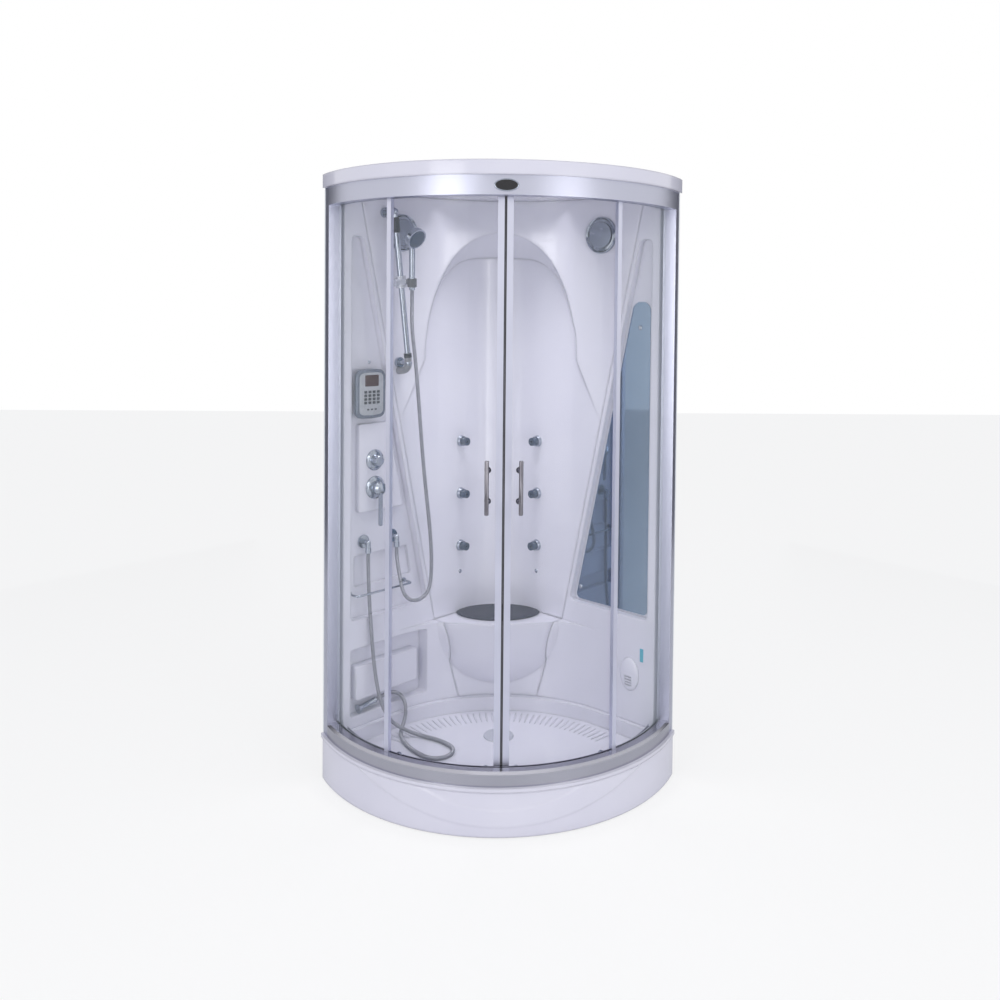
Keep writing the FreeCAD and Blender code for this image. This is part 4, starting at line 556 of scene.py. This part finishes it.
# %% Smooth route of a hose
def hose_line(points):
    """Points along the NURBS spline of a route, as Blender evaluates it."""
    data = bpy.data.curves.new("route", "CURVE")
    data.dimensions = "3D"
    data.resolution_u = 24
    spline = data.splines.new("NURBS")
    spline.points.add(len(points) - 1)
    for knot, place in zip(spline.points, points):
        knot.co = (*place, 1)
    spline.order_u = 3
    spline.use_endpoint_u = True
    helper = bpy.data.objects.new("route", data)
    bpy.context.collection.objects.link(helper)
    bpy.context.view_layer.update()
    mesh = bpy.data.meshes.new_from_object(helper.evaluated_get(
        bpy.context.evaluated_depsgraph_get()))
    line = [vertex.co.copy() for vertex in mesh.vertices]
    bpy.data.objects.remove(helper)
    return line


def evenly(line, step):
    """The same line in equal steps."""
    out = [line[0]]
    left = step
    for a, b in zip(line, line[1:]):
        run = (b - a).length
        done = 0.0
        while run - done >= left:
            done += left
            out.append(a.lerp(b, done / run))
            left = step
        left -= run - done
    out.append(line[-1])
    return out


# %% Ribbed skin round a line
def ribbed_tube(line, radius, rib=0.0036, dip=0.0006, sides=14):
    """Closed tube round a line; two of the four rings of a rib are narrower by dip."""
    path = evenly(line, rib / 4)
    shape = bmesh.new()
    across = (path[1] - path[0]).orthogonal().normalized()
    loops = []
    for index, place in enumerate(path):
        ahead = path[min(index + 1, len(path) - 1)] - path[max(index - 1, 0)]
        ahead.normalize()
        across = (across - ahead * across.dot(ahead)).normalized()
        other = ahead.cross(across)
        size = radius - (dip if index % 4 < 2 else 0)
        loops.append([shape.verts.new(place + (across * math.cos(math.tau * k / sides)
                      + other * math.sin(math.tau * k / sides)) * size) for k in range(sides)])
    closed(shape, loops)
    return as_mesh(shape, "hose")


# %% The two hoses
HOSE_RADIUS = 0.007


def left_route(places):
    return [wall_point("left", a * MM, off * MM, z * MM) for a, off, z in places]


def hose(name, places, bend=None):
    """Hose skin along a route; with bend given, it rides on no body and its place is baked in;
    the bodies and places in bend are not used.
    """
    line = hose_line(left_route(places))
    piece = finish_piece(name + "_skin", ribbed_tube(line, HOSE_RADIUS), "hose_grey",
                         None if bend else "cabin", [name])
    if bend:
        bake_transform(piece)
    print(name, "runs", round(sum((b - a).length for a, b in zip(line, line[1:])), 3), "m")


hose("handset_hose",
     [(632.1, 170.1, 1750.2), (624.6, 161.8, 1691.3), (627, 164, 1610), (606, 162, 1490),
      (585, 158, 1330), (562, 151, 1160), (536, 143, 1010), (508, 133, 880), (490, 126, 765),
      (484, 120, 686), (488, 117, 628), (508, 114, 598), (547, 110, 585), (586, 106, 598),
      (606, 97, 630), (608, 80, 692), (606, 60.3, 754), (606, 60.3, 792)],
     bend=("cabin", "slider", wall_point("left", 0.562, 0.151, 1.000),
           wall_point("left", 0.627, 0.164, 1.700)))
sprayer = carried("foot_sprayer", "chrome")
hose("foot_hose",
     [(739, 60.3, 792), (739, 60.3, 730), (736, 64, 615), (729, 70, 485), (724, 80, 370),
      (719, 95, 288), (706, 113, 218), (676, 128, 168), (641, 144, 139), (603, 190, 117.5),
      (580, 262, 117.5), (578, 325, 117.5), (589, 361, 117.5), (621, 384, 117.5),
      (659, 384, 117.5), (691, 361, 117.5), (702, 318, 117.5), (692, 230, 117.5),
      (650, 134, 117.5), (600, 104, 140), (575, 86, 178), (575, 68, 215), (600, 55, 241),
      (640, 47, 243.3), (690, 45.5, 235.2)])

# %% [markdown]
# ## Pieces whose form the frame already has
# Rails, panes, stiles, walls and fittings keep the frame's form. Welding their loose
# triangles and smoothing below a set angle turns the facets back into curved surfaces. Some
# get a finish that differs a little from the one of their slot. The stiles get a lighter
# aluminium as a painted highlight, the bottom rail a darker one as painted shade, and the
# handles chrome with painted dark reflections.

# %% Carry the frame's forms over
SLOT_OF = {part["node"]: part["material_slot"] for part in frame["record"]["subparts"]}
OWN = {"handset_hose", "foot_hose", "foot_sprayer", "control_panel", "seat_pad", "front_apron"}
DRESSED = {"handset": ("chrome", None), "steam_outlet": ("white_acrylic", None),
           "corner_panel": ("white_acrylic", EXTRA["soft_acrylic"]),
           "bar_slider": ("chrome", EXTRA["pale_chrome"]),
           # The bottom rail gets the darker aluminium, painted shade.
           "bottom_rail": ("satin_aluminium", EXTRA["rail_satin_painted_shade"]),
           "drain_cover": ("chrome", EXTRA["pale_chrome"])}
for node in sorted(set(SLOT_OF) - OWN):
    slot, look = DRESSED.get(node, (SLOT_OF[node], None))
    # The stiles get the lighter aluminium, a painted highlight.
    if "stile" in node:
        look = EXTRA["satin_painted_highlight"]
    # The handles get chrome with painted dark reflections.
    if node.endswith("handle"):
        look = EXTRA["chrome_painted_dark_reflection"]
    carried(node, slot, look)
print("carried", len(SLOT_OF) - len(OWN), "nodes")

# %% [markdown]
# ## Repeated details with Geometry Nodes
# Ridges on the tray floor, keys, spray nubs and holes are one small shape many times over.
# Each gets a node tree with named inputs that instances the shape, makes the copies real
# and gives them their finish. The result is turned into a plain mesh and set in place.

# %% A small builder for node trees
class Grower:
    """A geometry node tree with named inputs, for things that repeat."""

    def __init__(self, name):
        self.tree = bpy.data.node_groups.new(name, "GeometryNodeTree")
        self.tree.interface.new_socket("Geometry", in_out="OUTPUT",
                                       socket_type="NodeSocketGeometry")
        self.group = self.tree.nodes.new("NodeGroupInput")
        self.end = self.tree.nodes.new("NodeGroupOutput")
        self.given = {}

    def input(self, name, value):
        kind = "NodeSocketInt" if isinstance(value, int) else "NodeSocketFloat"
        socket = self.tree.interface.new_socket(name, in_out="INPUT", socket_type=kind)
        self.given[socket.identifier] = value
        return self.group.outputs[name]

    def node(self, kind, settings=None, values=None):
        return add_node(self.tree, kind, settings, values)

    def math(self, operation, *values):
        made = self.node("ShaderNodeMath", {"operation": operation}, dict(enumerate(values)))
        return made.outputs[0]

    def grown(self, geometry, finish):
        """Plain mesh of the tree's result, in its finish."""
        real = self.node("GeometryNodeRealizeInstances", None, {"Geometry": geometry})
        dressed = self.node("GeometryNodeSetMaterial", None,
                            {"Geometry": real.outputs[0], "Material": finish})
        self.tree.links.new(dressed.outputs[0], self.end.inputs[0])
        holder = bpy.data.objects.new("grown", bpy.data.meshes.new("grown"))
        bpy.context.collection.objects.link(holder)
        modifier = holder.modifiers.new("grow", "NODES")
        modifier.node_group = self.tree
        for identifier, value in self.given.items():
            modifier[identifier] = value
        bpy.context.view_layer.update()
        mesh = bpy.data.meshes.new_from_object(holder.evaluated_get(
            bpy.context.evaluated_depsgraph_get()))
        holder.modifiers.remove(modifier)
        bpy.data.objects.remove(holder)
        print(self.tree.name, "grew", len(mesh.polygons), "faces")
        return mesh


def set_in(mesh, place):
    """The mesh with its vertices moved to a place in the frame."""
    mesh.transform(place)
    return mesh


# %% Fans, rings and grids of one small shape
def fan(name, count, start, sweep, radius, size, finish):
    """Long low domes that point at a centre, evenly over an angle."""
    grow = Grower(name)
    number = grow.input("Count", count)
    first = grow.input("Start Angle", math.radians(start))
    over = grow.input("Sweep", math.radians(sweep))
    far = grow.input("Radius", radius)
    line = grow.node("GeometryNodeMeshLine", {"mode": "OFFSET"},
                     {"Count": number, "Offset": (0.0, 0.0, 0.0)})
    index = grow.node("GeometryNodeInputIndex").outputs[0]
    part = grow.math("DIVIDE", index, grow.math("SUBTRACT", number, 1))
    angle = grow.math("ADD", grow.math("MULTIPLY", part, over), first)
    spot = grow.node("ShaderNodeCombineXYZ", None,
                     {0: grow.math("MULTIPLY", grow.math("COSINE", angle), far),
                      1: grow.math("MULTIPLY", grow.math("SINE", angle), far)})
    moved = grow.node("GeometryNodeSetPosition", None,
                      {"Geometry": line.outputs[0], "Position": spot.outputs[0]})
    dome = grow.node("GeometryNodeMeshUVSphere", None,
                     {"Segments": 14, "Rings": 8, "Radius": 1.0})
    turned = grow.node("ShaderNodeCombineXYZ", None, {2: angle})
    copies = grow.node("GeometryNodeInstanceOnPoints", None,
                       {"Points": moved.outputs[0], "Instance": dome.outputs[0],
                        "Rotation": turned.outputs[0], "Scale": size})
    return grow.grown(copies.outputs[0], finish)


def rings(name, counts, radii, size, finish, domed=True):
    """Small round studs on rings about a centre."""
    grow = Grower(name)
    wide = grow.input("Stud Radius", size)
    tall = grow.input("Stud Height", size * (0.8 if domed else 0.25))
    joined = grow.node("GeometryNodeJoinGeometry")
    for count, radius in zip(counts, radii):
        circle = grow.node("GeometryNodeMeshCircle", None,
                           {"Vertices": count, "Radius": radius})
        grow.tree.links.new(circle.outputs[0], joined.inputs[0])
    if domed:
        stud = grow.node("GeometryNodeMeshIcoSphere", None, {"Radius": 1.0, "Subdivisions": 2})
    else:
        stud = grow.node("GeometryNodeMeshCylinder", None,
                         {"Vertices": 12, "Radius": 1.0, "Depth": 2.0})
    scale = grow.node("ShaderNodeCombineXYZ", None, {0: wide, 1: wide, 2: tall})
    copies = grow.node("GeometryNodeInstanceOnPoints", None,
                       {"Points": joined.outputs[0], "Instance": stud.outputs[0],
                        "Scale": scale.outputs[0]})
    return grow.grown(copies.outputs[0], finish)


def grid(name, across, down, pitch_x, pitch_y, size, finish):
    """Rounded keys on a grid."""
    grow = Grower(name)
    columns = grow.input("Columns", across)
    rows = grow.input("Rows", down)
    board = grow.node("GeometryNodeMeshGrid", None,
                      {"Size X": pitch_x * (across - 1), "Size Y": pitch_y * (down - 1),
                       "Vertices X": columns, "Vertices Y": rows})
    block = grow.node("GeometryNodeMeshCube", None,
                      {"Size": size, "Vertices X": 2, "Vertices Y": 2, "Vertices Z": 2})
    soft = grow.node("GeometryNodeSubdivisionSurface", None,
                     {"Mesh": block.outputs[0], "Level": 2, "Edge Crease": 0.62})
    copies = grow.node("GeometryNodeInstanceOnPoints", None,
                       {"Points": board.outputs[0], "Instance": soft.outputs[0]})
    return grow.grown(copies.outputs[0], finish)


# %% [markdown]
# ## Tray floor
# The floor keeps feet from slipping with low ridges that fan out along its back edge and
# its front edge. They are long flat domes, half sunk in the acrylic.

# %% Ridges on the floor
FLOOR = 0.110
BACK_CENTRE = Matrix.Translation((0, -0.3546, FLOOR))
FRONT_CENTRE = Matrix.Translation((0, ARC_Y, FLOOR))
back_fan = fan("back ridges", count=41, start=38, sweep=104, radius=0.485,
               size=(0.042, 0.0042, 0.0022), finish=LOOKS["white_acrylic"])
finish_piece("back_ridges", set_in(back_fan, BACK_CENTRE), "white_acrylic", angle=60)
front_fan = fan("front ridges", count=41, start=220, sweep=100, radius=0.535,
                size=(0.036, 0.0042, 0.0022), finish=LOOKS["white_acrylic"])
finish_piece("front_ridges", set_in(front_fan, FRONT_CENTRE), "white_acrylic", angle=60)

# %% [markdown]
# ## Flat plates with a soft outline
# Covers, the keypad's frame and its face are plates with rounded corners and a bulge at top
# and bottom. One function draws the outline, and another gives it thickness and a rounded
# front edge by adding smaller and higher rings.

# %% Plates from an outline
def soft_outline(half_wide, half_high, corner, bulge=0.0):
    """Rounded rectangle whose top and bottom swell by bulge."""
    steps = 10
    spacing = 0.006
    points = []
    for quarter in range(4):
        sx = 1 if quarter in (0, 3) else -1
        sy = 1 if quarter in (0, 1) else -1
        for k in range(steps + 1):
            angle = math.pi / 2 * (quarter + k / steps)
            x = sx * (half_wide - corner) + corner * math.cos(angle)
            y = sy * (half_high - corner) + corner * math.sin(angle)
            points.append((x, y))
    rich = []
    for (x0, y0), (x1, y1) in zip(points, points[1:] + points[:1]):
        pieces = max(1, round(math.hypot(x1 - x0, y1 - y0) / spacing))
        rich += [(x0 + (x1 - x0) * k / pieces, y0 + (y1 - y0) * k / pieces)
                 for k in range(pieces)]
    return [(x, y + math.copysign(bulge * (1 - (x / half_wide) ** 2), y)
             * min(1, abs(y) / (half_high * 0.5))) for x, y in rich]


def drawn_in(value, inset, reach):
    """One coordinate of an outline, moved towards the middle."""
    return value - math.copysign(min(inset, abs(value)), value) * min(1, abs(value) / reach * 3)


def plate(outline, low, high, edge):
    """Plate between two heights with a rounded front edge."""
    reach = max(max(abs(x), abs(y)) for x, y in outline)
    levels = [(0.0, low)]
    levels += [(edge * (1 - math.cos(angle)), high - edge + edge * math.sin(angle))
               for angle in quarter_turn(4)]
    shape = bmesh.new()
    loops = []
    for inset, level in levels:
        loops.append([shape.verts.new((drawn_in(x, inset, reach), drawn_in(y, inset, reach),
                                       level)) for x, y in outline])
    closed(shape, loops)
    bmesh.ops.recalc_face_normals(shape, faces=shape.faces)
    return as_mesh(shape, "plate")


# %% [markdown]
# ## Keypad
# A silver frame holds a lighter face with a dark window, sixteen small keys and three
# smaller ones below. The window shows nothing, and the keys carry no signs.

# %% Keypad
ALONG_KEYPAD = 0.735
FIT = 0.0003  # gap between the keypad and the wall
KEY_HEIGHT = 0.0176
KEYPAD = on_wall("left", ALONG_KEYPAD, PANEL + FIT, 1.373)
frame_plate = plate(soft_outline(0.066, 0.084, 0.022, 0.006), 0, 0.0147, 0.006)
finish_piece("keypad_frame", set_in(frame_plate, KEYPAD), "chrome", nodes=["control_panel"],
             look=EXTRA["key_silver"])
face_plate = plate(soft_outline(0.054, 0.073, 0.016, 0.005), 0.012, 0.0172, 0.003)
finish_piece("keypad_face", set_in(face_plate, KEYPAD), "control_white")
window = plate(soft_outline(0.031, 0.0205, 0.003), 0.015, 0.0180, 0.0008)
finish_piece("keypad_window", set_in(window, KEYPAD @ Matrix.Translation((0, 0.048, 0))),
             "control_white", look=EXTRA["display_dark"])
for name, across, down, pitch, size, rise in (
        ("keys", 4, 4, (0.019, 0.013), (0.0125, 0.0096, 0.0036), -0.012),
        ("buttons", 3, 1, (0.017, 0.01), (0.009, 0.006, 0.003), -0.056)):
    keys = grid(name, across, down, *pitch, size, EXTRA["dark_plastic_and_hole_shade"])
    keys = set_in(keys, KEYPAD @ Matrix.Translation((0, rise, KEY_HEIGHT)))
    finish_piece("keypad_" + name, keys, "control_white", look=EXTRA["dark_plastic_and_hole_shade"])

# %% [markdown]
# ## Small marks on the walls
# A sensor dot sits above the keypad, a blue strip above the steam outlet, two plugs in the
# alcove, two screw caps at the mirror's foot and one at its head, and a blank oval badge on
# the top rail.

# %% Caps, plugs and strip
ROUND_SIDES = 24
ALONG_JETS = 0.271
MIRROR_FACE = RECESS + 0.0043


def button(name, place, radius, height):
    """A low round chrome cap with a rounded edge."""
    shape = bmesh.new()
    loops = []
    for angle in quarter_turn(6):
        size = radius * (0.55 + 0.45 * math.cos(angle))
        level = height * math.sin(angle)
        loops.append([shape.verts.new((size * math.cos(math.tau * j / ROUND_SIDES),
                                       size * math.sin(math.tau * j / ROUND_SIDES), level))
                      for j in range(ROUND_SIDES)])
    closed(shape, loops)
    return finish_piece(name, set_in(as_mesh(shape, name), place), "chrome", angle=50)


button("sensor_dot", on_wall("left", ALONG_KEYPAD, PANEL, 1.487), 0.006, 0.003)
for side in ("left", "right"):
    button(f"{side}_plug", on_wall(side, ALONG_JETS, PANEL, 0.633), 0.008, 0.0025)
for index, (along, level) in enumerate(((0.483, 0.610), (0.655, 0.597), (0.750, 1.620))):
    button(f"mirror_cap_{index}", on_wall("right", along, MIRROR_FACE, level), 0.009, 0.005)
strip = plate(soft_outline(0.0075, 0.0245, 0.0015), 0, 0.0012, 0.0004)
finish_piece("blue_strip", set_in(strip, on_wall("right", 0.790, PANEL, 0.422)),
             "control_white", look=EXTRA["teal_strip"])

# %% Badge on the top rail
RAIL = 0.6864  # radius of the rail's face
BADGE_LEVEL = 2.071
OVAL_SIDES = 48


def oval(name, half_wide, half_high, low, high, finish):
    """Domed oval bent round the top rail, between two heights over its face."""
    shape = bmesh.new()
    loops = []
    for angle in quarter_turn(6):
        share = 0.88 + 0.12 * math.cos(angle)
        out = Vector((low + (high - low) * math.sin(angle), 0, 0))
        loop = []
        for j in range(OVAL_SIDES):
            turn = math.tau * j / OVAL_SIDES
            across = half_wide * share * math.cos(turn)
            up = half_high * share * math.sin(turn)
            place = on_front(math.degrees(across / RAIL), RAIL, BADGE_LEVEL + up)
            loop.append(shape.verts.new(place @ out))
        loops.append(loop)
    bands(shape, loops)
    middle = shape.verts.new(on_front(0, RAIL, BADGE_LEVEL) @ Vector((high + 0.0006, 0, 0)))
    gathered(shape, loops[-1], middle)
    return finish_piece(name, as_mesh(shape, name), "chrome", look=finish, angle=50)


oval("badge_rim", 0.040, 0.0205, -0.001, 0.0022, LOOKS["chrome"])
oval("badge_field", 0.0365, 0.0172, 0.0, 0.0034, EXTRA["badge_black"])

# %% [markdown]
# ## Spray faces
# The handset sprays through small nubs and the six ball nozzles through fine holes. The two
# round covers near the roof have rings of holes. The holes are flat dark discs whose colour is
# painted shade. The slide bar has two dark collars, and a grey elbow that carries its lower end
# to the wall.

# %% Collars and elbow of the slide bar
BAR_FOOT = (0.598, 0.113, 1.482)  # along the left wall, off it and above the floor
BAR_LEAN = 0.127  # along the wall for each metre up


def along_bar(*rises):
    """Points on the slide bar by their height above its foot."""
    along, off, level = BAR_FOOT
    return [wall_point("left", along + BAR_LEAN * rise, off, level + rise) for rise in rises]


def bar_tube(name, points, radius, finish):
    """A smooth round piece along some points."""
    tube = ribbed_tube(hose_line(points), radius, rib=0.012, dip=0, sides=28)
    finish_piece(name, tube, "slider_grey", look=EXTRA[finish], angle=60)


TO_WALL = ((0.110, 1.470), (0.096, 1.457), (0.076, 1.452), (0.056, 1.451))
elbow_route = along_bar(0.024, 0.008) + [wall_point("left", 0.5965, off, level)
                                         for off, level in TO_WALL]
bar_tube("bar_elbow", elbow_route, 0.0135, "elbow_grey")
bar_tube("bar_collar", along_bar(0.020, 0.036), 0.0145, "dark_plastic_and_hole_shade")
bar_tube("bar_upper_collar", along_bar(0.475, 0.530), 0.0145, "dark_plastic_and_hole_shade")


# %% Nubs of the handset, holes of the covers and the nozzles
def facing_matrix(place, way, across):
    """Matrix whose Z is a given way and whose X is near a given direction."""
    z = Vector(way).normalized()
    y = z.cross(Vector(across)).normalized()
    turn = Matrix((y.cross(z), y, z)).transposed().to_4x4()
    return Matrix.Translation(place) @ turn


# The middle of the handset's face, the way it sprays and its sideways direction.
HEAD = facing_matrix((-0.305887, -0.095044, 1.927753), (0.646969, -0.552352, -0.525679),
                     (0.701448, 0.701448, 0.126254))
face = plate(soft_outline(0.0335, 0.0335, 0.0334), -0.004, 0.0012, 0.0012)
finish_piece("handset_face", set_in(face, HEAD), "spray_blue", "handset_unit")
nubs = rings("handset nubs", (6, 14, 24, 32), (0.007, 0.014, 0.0215, 0.0285), 0.0012,
             EXTRA["key_silver"])
finish_piece("handset_nubs", set_in(nubs, HEAD), "spray_blue", "handset_unit",
             look=EXTRA["key_silver"])
COVER_FACE = 0.0110  # from the foot of a cover to its face
DISC = 0.0014  # thickness of the disc on it
for sign, slot in ((-1, "exhaust_fan"), (1, "speaker")):
    out = Vector((-sign * 0.678257, -0.734825, 0))
    front = Vector((sign * 0.373041, 0.073555, 1.964)) + out * COVER_FACE
    cover = facing_matrix(front, out, (0, 0, 1))
    disc = plate(soft_outline(0.050, 0.050, 0.0499), -0.001, DISC, 0.0012)
    finish_piece(slot + "_disc", set_in(disc, cover), "chrome", look=EXTRA["cover_grey"])
    cover = cover @ Matrix.Translation((0, 0, DISC))
    # The holes are flat dark discs; their dark colour is painted shade in place of real holes.
    holes = rings(slot + " holes", (10, 18, 26, 34, 42), (0.012, 0.021, 0.030, 0.039, 0.048),
                  0.0019, EXTRA["dark_plastic_and_hole_shade"], domed=False)
    finish_piece(slot + "_holes", set_in(holes, cover), "chrome", look=EXTRA["dark_plastic_and_hole_shade"])
NOZZLE_FACE = PANEL + 0.0163 + 0.0200  # rosette, then ball
for side in ("left", "right"):
    for row, level in (("upper", 1.157), ("middle", 0.9475), ("lower", 0.738)):
        face = on_wall(side, ALONG_JETS, NOZZLE_FACE, level)
        # Flat dark discs stand for the nozzle holes; their dark colour is painted shade.
        jets = rings(f"{side} {row} holes", (6, 12), (0.005, 0.0105), 0.0011,
                     EXTRA["dark_plastic_and_hole_shade"], domed=False)
        finish_piece(f"{side}_{row}_holes", set_in(jets, face), "spray_blue",
                     f"{side}_{row}_nozzle", look=EXTRA["dark_plastic_and_hole_shade"])

# %% [markdown]
# ## Apron
# The curved apron carries a low relief: a crescent between two arcs, raised by four
# millimetres. A fine grid over angle and height, moved outwards inside the crescent with a
# soft step, gives that relief without any cutting.

# %% Apron
RELIEF = 0.004
LOW_ARC = (1.101, 0.037)  # radius and lowest point
HIGH_ARC = (0.651, 0.093)
SOFT_STEP = 0.010
APRON_COLUMNS = 260
APRON_ROWS = 72
APRON_DEPTH = 0.009


def height_of(arc, x):
    """Height of an arc over the place x, measured from the middle of the apron."""
    radius, foot = arc
    return foot + radius - math.sqrt(max(radius ** 2 - x * x, 0))


def raised(x, z):
    """1 inside the crescent and 0 outside, with a soft step between."""
    inside = min(z - height_of(LOW_ARC, x), height_of(HIGH_ARC, x) - z)
    share = min(max(inside / SOFT_STEP + 0.5, 0), 1)
    return share * share * (3 - 2 * share)


def apron():
    low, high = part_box("front_apron")
    outer = ARC_Y - low.y
    reach = math.degrees(math.asin(min(1, high.x / outer)))
    heights = [low.z + (high.z - low.z) * k / APRON_ROWS for k in range(APRON_ROWS + 1)]
    shape = bmesh.new()
    rows = []
    for k in range(APRON_COLUMNS + 1):
        angle = -reach + 2 * reach * k / APRON_COLUMNS
        x = outer * math.sin(math.radians(angle))
        front = []
        for z in heights:
            edge = min(z - heights[0], heights[-1] - z)
            round_off = 0.002 * (1 - min(1, edge / 0.003)) ** 2
            step = RELIEF * (1 - raised(x, z))
            place = on_front(angle, outer - round_off - step, z)
            front.append(shape.verts.new(place.translation))
        back = [shape.verts.new(on_front(angle, outer - APRON_DEPTH, z).translation)
                for z in (heights[-1], heights[0])]
        rows.append(front + back)
    closed(shape, rows)
    bmesh.ops.recalc_face_normals(shape, faces=shape.faces)
    finish_piece("apron_relief", as_mesh(shape, "apron"), "white_acrylic",
                 nodes=["front_apron"], angle=60)
    print("apron reaches", round(reach, 1), "degrees each way")


apron()

# %% [markdown]
# ## Seat pad
# The pad is closed-cell foam with a leathery skin: a lens shape with soft edges that stands
# a little proud of the seat. Its outline is two arcs, and each ring towards the middle is
# higher, so that the edge rolls over.

# %% Seat pad
PAD_HALF = 0.166
PAD_TIP, PAD_BACK, PAD_FRONT = (CORNER_Y - 0.252, CORNER_Y - 0.160, CORNER_Y - 0.353)
PAD_STEPS = 96
# Share of the outline and share of the thickness, from the foot to the crown.
PAD_RINGS = ((0.965, 0.0), (0.99, 0.10), (1.0, 0.30), (0.99, 0.50), (0.965, 0.64),
             (0.92, 0.74), (0.85, 0.80), (0.7, 0.87), (0.5, 0.94), (0.25, 0.985))


def pad_edge(turn):
    """A point of the pad's outline: two arcs that meet at its side tips."""
    depth = (PAD_BACK - PAD_TIP) if math.sin(turn) > 0 else (PAD_FRONT - PAD_TIP)
    return PAD_HALF * math.cos(turn), PAD_TIP + depth * abs(math.sin(turn)) ** 1.15


def seat_pad():
    low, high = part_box("seat_pad")
    rise = high.z - low.z
    outline = [pad_edge(math.tau * k / PAD_STEPS) for k in range(PAD_STEPS)]
    shape = bmesh.new()
    loops = [[shape.verts.new((x * share, PAD_TIP + (y - PAD_TIP) * share,
                               low.z + rise * level)) for x, y in outline]
             for share, level in PAD_RINGS]
    bands(shape, loops)
    gathered(shape, loops[-1], shape.verts.new((0, PAD_TIP, high.z)))
    gathered(shape, loops[0][::-1], shape.verts.new((0, PAD_TIP, low.z)))
    mesh = as_mesh(shape, "seat_cushion")
    pad = finish_piece("seat_cushion", mesh, "charcoal_pad", nodes=["seat_pad"], angle=70)


seat_pad()
